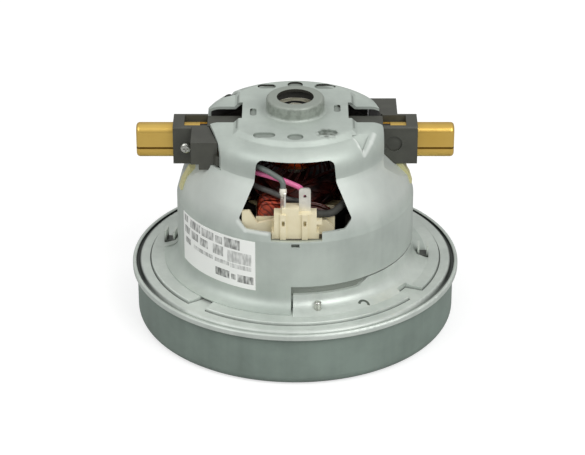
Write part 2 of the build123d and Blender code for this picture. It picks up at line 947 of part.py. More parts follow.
def coil_core():
    outside = coil_corners(coil_out_x, coil_out_low, coil_out_high, coil_top_slope)
    inside = coil_corners(coil_in_x, coil_in_low, coil_in_high, 0)
    body = rounded_prism(outside, coil_outer_round, coil_back_y, coil_front_y)
    return body - rounded_prism(inside, coil_gap, coil_back_y - cut_over, coil_front_y + cut_over)


def coil_wire():
    """Outer layer: rounded turns that step towards the front by one pitch each time round."""
    lift = coil_wire_radius + press_gap
    wire_x = coil_out_x + lift
    wire_low = coil_out_low - lift
    wire_high = coil_out_high + lift
    corners = coil_corners(wire_x, wire_low, wire_high, coil_top_slope)
    room = coil_front_y - coil_back_y - 2 * coil_wire_radius
    turns = math.floor(room / coil_pitch)
    start_y = coil_back_y + coil_wire_radius + (room - turns * coil_pitch) / 2
    points = [Vector(0, -start_y, wire_low)]
    quarter_pitch = coil_pitch / 4
    for index in range(4 * turns):
        side_x, height = corners[index % 4]
        points.append(Vector(side_x, -start_y - (index + 1 / 2) * quarter_pitch, height))
    points.append(Vector(0, -start_y - turns * coil_pitch, wire_low))
    bend = coil_outer_round + lift
    path = FilletPolyline(points, radius=[bend] * (len(points) - 2))
    gap = least_gap(path, coil_wire_radius, 4 * wire_x)
    print("field coil turns", turns, "least gap", gap)
    return tube(path, coil_wire_radius)


for place, turn in (("front", 0), ("rear", half_turn_angle)):
    save("coil_" + place + "_core", [Rot(0, 0, turn) * coil_core()])
    save("coil_" + place + "_wire", [Rot(0, 0, turn) * coil_wire()])

# Terminal block: cream moulding that stands on the stator's front yoke and holds two terminals
block_back = tab_y - tab_width / 2
block_half = block_width / 2


def terminal_left():
    half = tab_thickness / 2
    low = block_top - tab_depth
    front = tab_y + tab_width / 2
    tab = block(tab_left_x - half, tab_left_x + half, -front, -block_back, low, tab_left_top)
    tip_edges = tab.edges().filter_by(Axis.X).group_by(Axis.Z)[-1]
    tab = fillet(tip_edges, tab_width / 4)
    hole = Rot(0, quarter_turn, 0) * Cylinder(tab_hole, tab_width)
    tab -= Pos(tab_left_x, -tab_y, tab_left_top - tab_hole_drop) * hole
    return Pos(tab_left_x, -tab_y, 0) * Rot(0, 0, tab_left_angle) * Pos(-tab_left_x, tab_y, 0) * tab


def terminal_right():
    half = tab_thickness / 2
    low = block_top - tab_depth
    side = tab_width / 2
    tab = block(tab_right_x - side, tab_right_x + side, -tab_y - half, -tab_y + half, low, tab_right_top)
    tip_edges = tab.edges().filter_by(Axis.Y).group_by(Axis.Z)[-1]
    tab = fillet(tip_edges, tab_width / 4)
    hole = Rot(quarter_turn, 0, 0) * Cylinder(tab_hole, tab_width)
    return tab - Pos(tab_right_x, -tab_y, tab_right_top - tab_hole_drop) * hole


def terminal_wing(outline):
    """Upright cream fence from (x, height) corners."""
    points = [(x, -block_back, height) for x, height in outline]
    return extrude(make_face(Polyline(points, close=True)), flange_thickness, dir=(0, -1, 0))


def terminal_block():
    tip_width = 2 * flange_thickness
    tip_top = flange_top + flange_tip_rise
    tip_x = flange_left_reach - tip_width
    base_half = block_base_width / 2
    body = block(-block_half, block_half, -block_front, -block_back, stack_top, block_top)
    body += block(-base_half, base_half, -block_front, -block_back, stack_top, block_base_top)
    middle_half = block_middle_width / 2
    body += block(-middle_half, middle_half, -block_front, -block_back, block_top, block_middle_top)
    body += terminal_wing(
        [
            (-block_half, stack_top),
            (-block_half, flange_top),
            (-tip_x + tip_width, flange_top - tip_width / 2),
            (-tip_x, tip_top),
            (-flange_left_reach, tip_top),
            (-flange_left_reach, flange_top - flange_tip_rise),
            (-tip_x, stack_top),
        ]
    )
    body += terminal_wing(
        [
            (block_half, stack_top),
            (block_half, flange_top),
            (flange_right_reach - tip_width, flange_top),
            (flange_right_reach, flange_top - flange_tip_rise),
            (flange_right_reach - flange_thickness, stack_top),
        ]
    )
    notch = tab_width / 4
    eye_z = block_top - flange_tip_rise
    rib_front = block_front + tab_thickness
    for x in (tab_left_x, tab_right_x):
        body += block(x - notch, x + notch, -rib_front, -block_front, stack_top, block_top)
        eye = block(-notch / 2, notch / 2, -rib_front - notch, -block_front + notch, -notch, notch)
        body -= Pos(x, 0, eye_z) * eye
    peg_x = block_half + block_peg
    body += block(block_half, peg_x, -block_front, -block_back, flange_top, flange_top + flange_thickness)
    pocket = 2 * tab_thickness
    body -= block(
        tab_right_x - tab_width / 2,
        tab_right_x + tab_width / 2,
        -block_front - pocket,
        -block_back + pocket,
        block_top,
        block_middle_top + pocket,
    )
    return body - terminal_left() - terminal_right()


save("terminal_block", [terminal_block()])
save("terminal_left", [terminal_left()])
save("terminal_right", [terminal_right()])

# Motor frame: pressed housing with a flared foot, curved shoulder, flat-sided neck and bearing cup
shoulder_lean = math.atan((frame_radius - shoulder_middle_radius) / (shoulder_middle_z - crease_z))
crease_shift = sheet * math.tan(shoulder_lean / 2)
cup_root_round = 1.2
neck_inner = neck_radius - sheet
bridge_foot = bridge_radius + bridge_slope


def frame_outside():
    corners = [
        (foot_radius, plateau_top),
        (foot_radius, plateau_top + foot_edge),
        (frame_radius, plateau_top + sheet),
        (frame_radius, crease_z),
        (shoulder_middle_radius, shoulder_middle_z),
        (neck_radius, neck_z),
        (neck_radius, platform_top),
        (bridge_foot, platform_top),
        (bridge_radius, bridge_top),
        (cup_outer, bridge_top),
        (cup_outer, cup_top),
        (0, cup_top),
        (0, plateau_top),
    ]
    rounds = [0, 0, foot_bend, shoulder_bend, shoulder_middle_bend, sheet / 2, neck_round]
    rounds += [bridge_slope / 2, bridge_slope / 2, cup_root_round, cup_round, 0, 0]
    return turned(corners, rounds)


def frame_inside():
    crease_low = crease_z - crease_shift
    neck_low = neck_z - crease_shift
    ceiling = bridge_top - sheet
    corners = [
        (foot_radius + cut_over, plateau_top - cut_over),
        (foot_radius - sheet, plateau_top),
        (frame_inner, plateau_top),
        (frame_inner, crease_low),
        (shoulder_middle_radius - sheet, shoulder_middle_z - crease_shift),
        (neck_inner, neck_low),
        (neck_inner, platform_top - sheet),
        (bridge_foot - sheet, platform_top - sheet),
        (bridge_radius - sheet, ceiling),
        (cup_inner, ceiling),
        (cup_inner, cup_top - sheet),
        (0, cup_top - sheet),
        (0, plateau_top - cut_over),
    ]
    rounds = [0, 0, foot_bend, 0, shoulder_middle_bend, 0, neck_round - sheet, 0, 0, 0, 0, 0, 0]
    return turned(corners, rounds)


def flats_outline(shrink):
    """Front view of the frame's flat sides, moved inwards by a wall."""
    lean = math.radians(flat_lean_angle)
    side = flat_x - shrink
    knee = flat_z - shrink * math.tan(lean / 2)
    reach = foot_radius + cut_over
    low = knee - (reach - side) / math.tan(lean)
    step_top = cup_top + cut_over
    step_shift = shrink * math.tan(lean / 2)
    right = [
        (reach, plateau_top - 2 * cut_over),
        (reach, low),
        (side, knee),
        (side, platform_top - shrink),
        (bridge_half + bridge_slope - step_shift, platform_top - shrink),
        (bridge_half - step_shift, bridge_top - shrink),
        (bridge_half - step_shift, step_top),
    ]
    left = [(-x, height) for x, height in reversed(right)]
    points = [(x, foot_radius + cut_over, height) for x, height in right + left]
    rounds = [0, 0, sheet, flat_round - shrink, 0, 0, 0]
    outline = FilletPolyline(points, radius=rounds + rounds[::-1], close=True)
    return extrude(make_face(outline), 2 * (foot_radius + cut_over), dir=(0, -1, 0))


def window_cut():
    """Front window: narrow waist above, wide mouth below, and a notch for the terminal block."""
    left = [
        (-window_top_half, window_top),
        (-window_waist_half, window_waist),
        (-window_low_half, window_low),
        (-window_low_half + window_round, window_bottom),
    ]
    right = [(-x, height) for x, height in reversed(left)]
    near = neck_radius - neck_round - cut_over
    points = [(x, -near, height) for x, height in left + right]
    rounds = [window_round, window_round, window_round / 2, window_round / 2]
    outline = FilletPolyline(points, radius=rounds + rounds[::-1], close=True)
    far = foot_radius + cut_over
    opening = extrude(make_face(outline), far - near, dir=(0, -1, 0))
    notch_left = -block_base_width / 2 - loose_gap
    notch = block(notch_left, window_notch_right, -far, -near, window_notch_bottom, window_bottom + sheet)
    return opening + notch


brush_half_y = brush_width / 2
brush_half_z = brush_height / 2
tube_inner_y = brush_half_y + slide_gap
tube_inner_z = brush_half_z + slide_gap
tube_outer_y = tube_inner_y + tube_wall
tube_outer_z = tube_inner_z + tube_wall
sleeve_y = tube_outer_y + press_gap + sleeve_wall
sleeve_z = tube_outer_z + press_gap + sleeve_wall


def ear_prism(room, near, far, outer, low, high):
    """Upright block whose inner side slants inwards from the holder's block to the ear's tip."""
    shoulder = flat_x - ear_shoulder_inset
    slope = (shoulder - ear_inner) / (ear_reach - holder_half)
    near_x = shoulder - room - slope * (near - holder_half)
    far_x = shoulder - room - slope * (far - holder_half)
    corners = [(near_x, near), (outer, near), (outer, far), (far_x, far)]
    return Pos(0, 0, low) * extrude(make_face(Polyline(corners, close=True)), high - low, dir=(0, 0, 1))


def side_cut():
    """Opening at the right for the brush holder, with a notch at the rear for its ear."""
    reach = foot_radius + cut_over
    high = cup_top + cut_over
    low = brush_z - sleeve_z - loose_gap
    sleeve_half = sleeve_y + loose_gap
    cut = block(slot_inner_x, reach, -slot_half, slot_half, holder_bottom + sleeve_z, high)
    cut += block(flat_x - 2 * cut_over, reach, -sleeve_half, sleeve_half, low, holder_bottom + sleeve_z)
    ear_low = ear_bottom - loose_gap
    cut += ear_prism(loose_gap, slot_half - loose_gap, neck_radius, reach, ear_low, high)
    return cut


# Pressed marks on the bridge: centre x, centre y, half length and half width, as shares of its radius
dimple_depth = 0.9
dimple_round_share = 0.49
dimple_shares = [
    (-0.42, -0.80, 0.15, 0.085),
    (0.0, -0.86, 0.11, 0.10),
    (0.44, -0.72, 0.13, 0.085),
    (0.42, 0.80, 0.15, 0.085),
    (0.0, 0.86, 0.11, 0.10),
    (-0.40, 0.80, 0.13, 0.07),
    (-0.58, -0.06, 0.045, 0.12),
    (0.58, 0.06, 0.045, 0.12),
]


def dimples():
    cuts = []
    for x_share, y_share, length_share, width_share in dimple_shares:
        size_x = 2 * length_share * bridge_radius
        size_y = 2 * width_share * bridge_radius
        corner = dimple_round_share * min(size_x, size_y)
        outline = RectangleRounded(size_x, size_y, corner)
        place = Pos(x_share * bridge_radius, y_share * bridge_radius, bridge_top - dimple_depth)
        cuts.append(place * extrude(outline, cut_over))
    return cuts


def gusset():
    """Three-cornered dart pressed into the edge between platform and neck."""
    left = polar(gusset_ring, gusset_left_angle, platform_top)
    right = polar(gusset_ring + gusset_skew, gusset_right_angle, platform_top)
    tip = polar(neck_radius - gusset_depth, gusset_tip_angle, platform_top - neck_round + gusset_skew)
    face = make_face(Polyline([left, right, tip], close=True))
    outwards = face.faces()[0].normal_at()
    if outwards.Z < 0:
        outwards = -outwards
    outside = extrude(face, neck_round, dir=outwards)
    skin = extrude(face, sheet, dir=-outwards)
    return outside, skin


def motor_frame():
    outside = frame_outside() & flats_outline(0)
    inside = frame_inside() & flats_outline(sheet)
    dart, skin = gusset()
    body = outside - inside
    for cut, patch in ((dart, skin), (opposite(dart), opposite(skin))):
        body = body - cut + (patch & outside)
    cuts = [ring(cup_hole, 0, cup_top - 2 * sheet, cup_top + cut_over)]
    wall_cut = sector(
        apron_start_angle - angle_over,
        apron_end_angle + angle_over,
        frame_inner - cut_over,
        foot_radius + 2 * cut_over,
        plateau_top - cut_over,
        frame_slot_top,
    )
    dent_low = window_dent_z - window_dent_height / 2
    dent_half = window_dent_width / 2
    reach = frame_radius + cut_over
    dent_high = dent_low + window_dent_height
    dent = block(-dent_half, dent_half, -reach, -frame_radius + cut_over, dent_low, dent_high)
    for cut in (wall_cut, window_cut(), side_cut(), dent):
        cuts.append(cut)
        cuts.append(opposite(cut))
    for angle in (clip_left_angle, clip_right_angle):
        cuts.append(flange_clip(angle, loose_gap))
    cuts.extend(dimples())
    for cut in cuts:
        body -= cut
    return body


save("motor_frame", [motor_frame()])

# Brush gear, drawn for the right side (+X); the left side is the same turned by half a turn
tube_inner_end = tube_end - tube_wall
brush_end = commutator_radius + brush_length
brush_low = brush_z - brush_half_z
brush_high = brush_z + brush_half_z


def square_tube(grow_y, grow_z, start, end, corner):
    """Rounded bar along X, centred on the brush."""
    centre = Plane(origin=(start, 0, brush_z), x_dir=(0, 1, 0), z_dir=(1, 0, 0))
    return extrude(centre * RectangleRounded(2 * grow_y, 2 * grow_z, corner), end - start)


def brush_tube():
    body = square_tube(tube_outer_y, tube_outer_z, tube_start, tube_end, tube_round)
    tip_edges = body.edges().group_by(Axis.X)[-1]
    body = fillet(tip_edges, tube_tip_round)
    cavity_round = brush_round + slide_gap
    body -= square_tube(tube_inner_y, tube_inner_z, tube_start - cut_over, tube_inner_end, cavity_round)
    seam_floor = tube_outer_y - tube_seam_depth
    seam_top = tube_seam_z + tube_seam_width
    reach = tube_outer_y + cut_over
    seam_end = tube_end - tube_tip_round
    body -= block(holder_face, seam_end, -reach, -seam_floor, tube_seam_z, seam_top)
    body -= block(holder_face, seam_end, seam_floor, reach, tube_seam_z, seam_top)
    feed_top = brush_z + tube_outer_z + cut_over
    half = feed_slot_half
    return body - block(feed_slot_start, feed_slot_end, -half, half, brush_high, feed_top)


def carbon_brush():
    body = square_tube(brush_half_y, brush_half_z, commutator_radius - tube_wall, brush_end, brush_round)
    return body - ring(commutator_radius + slide_gap, 0, brush_low - cut_over, brush_high + cut_over)


def brush_holder():
    """Moulded block on the frame's flat side, with a sleeve into the neck and an ear at the rear."""
    body = block(flat_x, holder_face, -holder_half, holder_half, holder_bottom, holder_top)
    body = chamfer(body.edges().filter_by(Axis.X), holder_round)
    sleeve_high = brush_z + sleeve_z
    sleeve_low = brush_z - sleeve_z
    body += block(sleeve_start, flat_x + holder_round, -sleeve_y, sleeve_y, sleeve_low, sleeve_high)
    ear_start = holder_half - holder_round
    body += ear_prism(0, ear_start, ear_reach, ear_outer, ear_bottom, holder_top)
    lug_x = (ear_inner + ear_outer) / 2
    lug_low = ear_bottom - lug_drop
    lug_half = lug_width / 2
    body += block(lug_x - lug_half, lug_x + lug_half, ear_reach - lug_width, ear_reach, lug_low, ear_bottom)
    below_ear = ring(foot_radius, 0, crease_z, ear_bottom - loose_gap)
    body -= frame_outside() & flats_outline(0) & below_ear
    body -= motor_frame()
    hole_y = tube_outer_y + press_gap
    hole_z = tube_outer_z + press_gap
    hole_start = sleeve_start - cut_over
    body -= square_tube(hole_y, hole_z, hole_start, holder_face + cut_over, tube_round + press_gap)
    slot_top = holder_top + cut_over
    for start, low in ((sleeve_start, sleeve_high), (flat_x, brush_z + tube_outer_z - tube_round)):
        body -= block(start, view_slot_end, -view_slot_half, view_slot_half, low, slot_top)
    recess = Rot(quarter_turn, 0, 0) * Cylinder(recess_radius, 2 * recess_depth)
    body -= Pos(recess_x, -holder_half, recess_z) * recess
    screw_hole = Rot(quarter_turn, 0, 0) * Cylinder(screw_shank_radius, 2 * screw_shank_length)
    return body - Pos(screw_x, holder_half, screw_z) * screw_hole


def holder_screw():
    """Cross-slotted pan head screw in the block's rear face."""
    head = Cylinder(screw_head_radius, screw_head_height, align=upright)
    head = fillet(head.edges().group_by(Axis.Z)[-1], screw_dome_share * screw_head_height)
    slot_width_across = screw_head_radius / 4
    for turn in (0, quarter_turn):
        slot = Rot(0, 0, turn) * Box(2 * screw_shank_radius, slot_width_across, screw_head_height)
        head -= Pos(0, 0, screw_head_height) * slot
    shank_length = screw_shank_length - slide_gap
    shank = Pos(0, 0, -shank_length) * Cylinder(screw_shank_radius, shank_length, align=upright)
    return Pos(screw_x, holder_half, screw_z) * Rot(-quarter_turn, 0, 0) * (head + shank)


def biarc(start, start_way, end, end_way):
    """Two tangent arcs between two points with given directions."""
    chord = end - start
    ways = start_way + end_way
    bend = 2 * (1 - start_way.dot(end_way))
    across = chord.dot(ways)
    reach = chord.dot(chord) / (2 * across)
    if bend > slide_gap**2:
        reach = (math.sqrt(across**2 + bend * chord.dot(chord)) - across) / bend
    middle = (start + end + (start_way - end_way) * reach) / 2
    middle_way = (end - start - ways * reach).normalized()
    first = Edge.make_tangent_arc(start, start_way, middle)
    second = Edge.make_tangent_arc(middle, middle_way, end)
    return [first, second]


def helix_point(start_x, pitch, turns):
    """Point and direction on the spring's helix after some turns."""
    turn = 2 * math.pi * turns
    place = Vector(
        start_x + pitch * turns,
        spring_radius * math.cos(turn),
        brush_z + spring_radius * math.sin(turn),
    )
    rise = pitch / (2 * math.pi)
    way = Vector(rise, -spring_radius * math.sin(turn), spring_radius * math.cos(turn))
    return place, way.normalized()


def brush_spring():
    """One wire wound between the brush and the closed end of its tube."""
    wire = 2 * spring_wire
    room = tube_inner_end - brush_end
    start_x = brush_end + 3 * wire
    pitch = (room - 6 * wire) / spring_turns
    edges = []
    steps = 4 * spring_turns
    for index in range(steps):
        start, start_way = helix_point(start_x, pitch, index / 4)
        end, end_way = helix_point(start_x, pitch, (index + 1) / 4)
        edges.extend(biarc(start, start_way, end, end_way))
    first, first_way = helix_point(start_x, pitch, 0)
    last, last_way = helix_point(start_x, pitch, spring_turns)
    along = Vector(1, 0, 0)
    lead_in = Vector(brush_end + wire, first.Y - wire, first.Z - wire)
    lead_out = Vector(tube_inner_end - wire, last.Y - wire, last.Z + wire)
    lead_edges = [Line(lead_in - along * wire, lead_in).edge()]
    lead_edges += biarc(lead_in, along, first, first_way)
    tail_edges = biarc(last, last_way, lead_out, along)
    tail_edges.append(Line(lead_out, lead_out + along * wire).edge())
    path = Wire(lead_edges + edges + tail_edges)
    print("brush spring least gap", least_gap(path, spring_wire, 2 * math.pi * spring_radius))
    return tube(path, spring_wire)


def holder_strip(angle):
    """Pale insulating strip that lies on the shoulder below the holder."""
    middle = shoulder_middle_radius + strip_thickness
    rise_share = (strip_top_z - shoulder_middle_z) / (neck_z - shoulder_middle_z)
    top_x = middle - (middle - neck_radius) * rise_share
    corners = [
        (neck_radius - sheet, 0, strip_top_z),
        (shoulder_middle_radius - 2 * sheet, 0, strip_bottom_z),
        (middle + strip_flare, 0, strip_bottom_z),
        (middle, 0, shoulder_middle_z),
        (top_x, 0, strip_top_z),
    ]
    face = make_face(Polyline(corners, close=True))
    strip = extrude(face, strip_width / 2, both=True)
    return Rot(0, 0, angle - quarter_turn) * strip - (frame_outside() & flats_outline(0))


for side, turn in (("right", 0), ("left", half_turn_angle)):
    save("brush_tube_" + side, [Rot(0, 0, turn) * brush_tube()])
    save("carbon_brush_" + side, [Rot(0, 0, turn) * carbon_brush()])
    save("brush_holder_" + side, [Rot(0, 0, turn) * brush_holder()])
    save("brush_spring_" + side, [Rot(0, 0, turn) * brush_spring()])
save("holder_screws", [holder_screw(), opposite(holder_screw())])
save("holder_strips", [holder_strip(strip_left_angle), holder_strip(strip_right_angle)])

# Rating label: thin sheet on the housing's wall, left of the front
label_inner = frame_radius
label_outer = frame_radius + label_thickness
label_sheet = sector(
    label_start_angle, label_end_angle, label_inner, label_outer, label_low, label_high
)
save("rating_label", [label_sheet])

# Leads, each with its route as points chosen along the real run inside the neck
def coil_rest(x, radius):
    """Height of a lead that lies on the sloping top of a coil."""
    fall = coil_top_slope * (x + coil_out_x) / (2 * coil_out_x)
    return coil_out_high + 2 * (coil_wire_radius + press_gap) + radius - fall


grey_points = [
    (-27.0, -sleeve_y, 81.6),
    (-27.0, -12.0, 81.8),
    (-23.5, -24.0, 83.8),
    (-16.3, -33.2, 84.3),
    (-10.4, -38.2, 83.6),
    (tab_left_x, -tab_y, 81.9),
    (tab_left_x, -tab_y, tab_left_top),
]
tab_back_y = tab_y - tab_thickness / 2
pink_points = [
    (-30.4, -sleeve_y, 78.6),
    (-30.4, -12.5, 78.6),
    (-24.5, -25.0, 80.4),
    (-17.0, -32.4, 81.0),
    (-10.6, -35.6, 80.6),
    (-4.6, -36.6, 79.0),
    (2.8, -36.8, 75.6),
    (2.8, -tab_back_y, 75.6),
]
dark_points = [
    (-24.0, -sleeve_y, 74.7),
    (-24.0, -14.0, 74.7),
    (-21.5, -25.0, 74.3),
    (-16.4, -32.2, 74.2),
    (-10.0, -35.4, 73.4),
    (-3.6, -35.8, coil_rest(-3.6, lead_radius)),
    (3.9, -35.0, coil_rest(3.9, lead_radius)),
]
sleeved_points = [
    (25.6, -sleeve_y, 76.6),
    (25.6, -16.0, 76.2),
    (25.2, -26.0, 72.4),
    (21.6, -34.4, 69.0),
    (15.0, -42.2, 66.6),
    (block_half, -42.2, 66.6),
]
sleeved_rear_points = [
    (25.6, -sleeve_y, 76.8),
    (25.6, -15.0, 76.8),
    (22.8, -25.6, 75.2),
    (17.6, -32.0, 72.2),
    (12.0, -34.6, coil_rest(12.0, sleeve_radius)),
    (6.6, -34.8, coil_rest(6.6, sleeve_radius)),
]


def lead(points, radius):
    """Lead through its points, each bend as large as its two runs allow."""
    places = [Vector(*point) for point in points]
    bends = []
    for before, here, after in zip(places, places[1:], places[2:]):
        turn = math.radians((here - before).get_angle(after - here))
        run = min((here - before).length, (after - here).length)
        bends.append(bend_share * run / math.tan(turn / 2))
    path = FilletPolyline(places, radius=bends)
    body = tube(path, radius)
    volume_share = body.volume / (path.length * math.pi * radius**2)
    radii = [round(bend, 1) for bend in bends]
    print("lead length", round(path.length, 1), "radii", radii, round(volume_share, 3))
    return body


save("lead_grey", [lead(grey_points, lead_radius)])
save("lead_pink", [lead(pink_points, lead_radius)])
dark_lead = lead(dark_points, lead_radius)
save("lead_dark", [dark_lead, opposite(dark_lead)])
sleeved_lead = lead(sleeved_points, sleeve_radius)
sleeved_rear_lead = lead(sleeved_rear_points, sleeve_radius)
save("lead_sleeved", [sleeved_lead, opposite(sleeved_rear_lead)])
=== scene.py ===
import math
import random

import bmesh
import bpy
from mathutils import Matrix, Vector


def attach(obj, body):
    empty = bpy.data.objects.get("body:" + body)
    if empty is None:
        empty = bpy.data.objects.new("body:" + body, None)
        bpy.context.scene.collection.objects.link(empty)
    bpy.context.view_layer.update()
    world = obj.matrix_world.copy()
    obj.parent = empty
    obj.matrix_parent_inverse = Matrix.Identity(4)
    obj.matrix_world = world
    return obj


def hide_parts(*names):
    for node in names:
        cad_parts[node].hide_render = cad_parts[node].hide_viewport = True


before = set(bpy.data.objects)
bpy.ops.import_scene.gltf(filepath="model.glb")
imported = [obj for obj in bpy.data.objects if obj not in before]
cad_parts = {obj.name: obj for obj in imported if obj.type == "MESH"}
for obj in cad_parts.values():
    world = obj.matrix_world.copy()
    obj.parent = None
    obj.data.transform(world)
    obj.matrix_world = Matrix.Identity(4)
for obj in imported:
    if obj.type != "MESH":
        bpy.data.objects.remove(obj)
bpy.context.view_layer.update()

# Fan cover: the dull drum under the motor, deep-drawn from hot-dipped sheet, with the inlet eye
# in its floor and the lip rolled over the lower bracket. The fibre ring round the eye seals the
# impeller.


def tone(red, green, blue):
    """Linear colour of a screen colour from 0 to 255."""
    return tuple(((c / 255 + 0.055) / 1.055) ** 2.4 for c in (red, green, blue)) + (1.0,)


def put(tree, kind, inputs=None, **settings):
    """Add a shader node with its settings, its plain inputs and its links."""
    made = tree.nodes.new("ShaderNode" + kind)
    for name, value in settings.items():
        setattr(made, name, value)
    for socket, value in (inputs or {}).items():
        if isinstance(value, bpy.types.NodeSocket):
            tree.links.new(value, made.inputs[socket])
        else:
            made.inputs[socket].default_value = value
    return made


def object_place(tree):
    """Coordinates fixed to the piece, so that a pattern stays where it is when the piece moves."""
    return put(tree, "TexCoord").outputs["Object"]


def noise(tree, place, scale, detail, **more):
    """Cloudy pattern from 0 to 1."""
    return put(tree, "TexNoise", {"Vector": place, "Scale": scale, "Detail": detail, **more}).outputs["Fac"]


def ramp(tree, value, low, high, start=0.0, end=1.0):
    """Value that goes from start to end while another one goes from low to high."""
    reach = {"Value": value, "From Min": low, "From Max": high, "To Min": start, "To Max": end}
    return put(tree, "MapRange", reach).outputs[0]


def reckon(tree, operation, first, second):
    """Product, quotient or comparison of two values."""
    return put(tree, "Math", {0: first, 1: second}, operation=operation).outputs[0]


def reckon_vector(tree, operation, *vectors, result="Vector"):
    """Result of a reckoning with places or directions."""
    return put(tree, "VectorMath", dict(enumerate(vectors)), operation=operation).outputs[result]


def all_of(tree, mask, *others):
    """Mask of what lies in every one of some masks."""
    for other in others:
        mask = reckon(tree, "MULTIPLY", mask, other)
    return mask


def between(tree, share, first, second):
    """Value between two others."""
    return put(tree, "Mix", {0: share, 2: first, 3: second}).outputs[0]


def tint(tree, share, ground, layer):
    """Colour with a share of another one laid over it."""
    return put(tree, "Mix", {0: share, 6: ground, 7: layer}, data_type="RGBA").outputs[2]


def uneven(tree, height, strength, depth=0.0001):
    """Fine relief of a surface."""
    return put(tree, "Bump", {"Strength": strength, "Distance": depth, "Height": height}).outputs[0]


def new_finish(name, **plain):
    """A material and its shader, with the sockets that are the same all over set on the shader."""
    finish = bpy.data.materials.new(name)
    finish.use_nodes = True
    shader = finish.node_tree.nodes["Principled BSDF"]
    for socket, value in plain.items():
        shader.inputs[socket.replace("_", " ")].default_value = value
    return finish, finish.node_tree, shader


def connect(tree, shader, **changing):
    """Lead what changes over the surface into the shader."""
    for socket, value in changing.items():
        tree.links.new(value, shader.inputs[socket.replace("_", " ")])


def wear(finish, *names):
    """Give a finish to parts of the frame."""
    for name in names:
        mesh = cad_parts[name].data
        mesh.materials.clear()
        mesh.materials.append(finish)


def new_group(name, inputs, outputs):
    """Empty node group with named sockets, what comes into it and what goes out of it."""
    group = bpy.data.node_groups.new(name, "ShaderNodeTree")
    for socket_name, value in inputs.items():
        kind = "NodeSocketVector" if isinstance(value, tuple) else "NodeSocketFloat"
        socket = group.interface.new_socket(socket_name, in_out="INPUT", socket_type=kind)
        socket.default_value = value
    for socket_name in outputs:
        group.interface.new_socket(socket_name, in_out="OUTPUT", socket_type="NodeSocketFloat")
    return group, group.nodes.new("NodeGroupInput").outputs, group.nodes.new("NodeGroupOutput").inputs


def sheet_marks_group():
    """Marks of rolled and pressed sheet: cloudy patches, drawn streaks, fine grain, light scratches."""
    group, given, out = new_group(
        "sheet_marks",
        {"Patch Scale": 60.0, "Streak Scale": 300.0, "Grain Scale": 2600.0},
        ("Patches", "Streaks", "Grain", "Scratches"),
    )
    place = object_place(group)
    patches = noise(group, place, given["Patch Scale"], 5.0, Roughness=0.6)
    tall = put(group, "Mapping", {"Vector": place, "Scale": (1.0, 1.0, 0.06)}).outputs[0]
    streaks = noise(group, tall, given["Streak Scale"], 4.0)
    grain = noise(group, place, given["Grain Scale"], 2.0)
    warp = put(group, "TexNoise", {"Vector": place, "Scale": 40.0, "Detail": 1.0}).outputs["Color"]
    bent = reckon_vector(group, "MULTIPLY_ADD", place, warp, warp)
    swirl = {"Vector": bent, "Scale": 90.0, "Distortion": 14.0, "Detail": 3.0, "Detail Scale": 2.0}
    lines = put(group, "TexWave", swirl).outputs["Fac"]
    scratches = all_of(group, ramp(group, lines, 0.975, 1.0), ramp(group, patches, 0.52, 0.62))
    marks = {"Patches": patches, "Streaks": streaks, "Grain": grain, "Scratches": scratches}
    for name, mark in marks.items():
        group.links.new(mark, out[name])
    return group


sheet_marks = sheet_marks_group()


def sheet_finish(name, dark, light, patch_scale, streak_share, roughness, metal, relief):
    """Plated or galvanised sheet: its colour wanders between two tones, and its gloss with it."""
    finish, tree, shader = new_finish(name, Metallic=metal)
    marks = put(tree, "Group", {"Patch Scale": patch_scale}, node_tree=sheet_marks).outputs
    clouds = ramp(tree, marks["Patches"], 0.35, 0.65)
    drawn = ramp(tree, marks["Streaks"], 0.3, 0.7)
    share = between(tree, streak_share, clouds, drawn)
    connect(
        tree,
        shader,
        Base_Color=tint(tree, marks["Scratches"], tint(tree, share, dark, light), light),
        Roughness=ramp(tree, share, 0.0, 1.0, *roughness),
        Normal=uneven(tree, marks["Grain"], relief, depth=0.0002),
    )
    return finish


dull_sheet = sheet_finish(
    "dull_galvanised_sheet", tone(121, 134, 126), tone(141, 156, 147),
    patch_scale=40.0, streak_share=0.22, roughness=(0.46, 0.60), metal=0.25, relief=0.10,
)
wear(dull_sheet, "fan_cover")

seal_fibre, tree, shader = new_finish("seal_fibre", Roughness=0.9)
fuzz = noise(tree, object_place(tree), 1800.0, 4.0)
connect(tree, shader, Base_Color=tint(tree, fuzz, tone(40, 40, 38), tone(84, 82, 76)))
wear(seal_fibre, "inlet_seal")

# Impeller: two thin aluminium discs riveted to curved vanes, clamped on the shaft between two
# washers by a nut, with a spacer up to the lower bearing.
rolled_aluminium = sheet_finish(
    "rolled_aluminium", tone(176, 178, 180), tone(206, 208, 210),
    patch_scale=80.0, streak_share=0.6, roughness=(0.28, 0.42), metal=0.9, relief=0.06,
)
wear(rolled_aluminium, "impeller_front_disc", "impeller_back_disc", "impeller_vanes")


def steel_finish(name, dark, light, roughness):
    """Small plated or turned steel pieces, with fine turning marks."""
    finish, tree, shader = new_finish(name, Metallic=1.0)
    marks = put(tree, "Group", {"Patch Scale": 400.0}, node_tree=sheet_marks).outputs
    connect(
        tree,
        shader,
        Base_Color=tint(tree, marks["Patches"], dark, light),
        Roughness=ramp(tree, marks["Grain"], 0.0, 1.0, *roughness),
        Normal=uneven(tree, marks["Grain"], 0.05),
    )
    return finish


bright_steel = steel_finish(
    "bright_plated_steel", tone(168, 170, 164), tone(226, 226, 218), roughness=(0.18, 0.34)
)
wear(bright_steel, "clamp_washer_lower", "clamp_washer_upper", "impeller_nut", "shaft_spacer")

# Diffuser: a dark moulded plate between impeller and bracket. Its return vanes lead the air back
# to the middle.


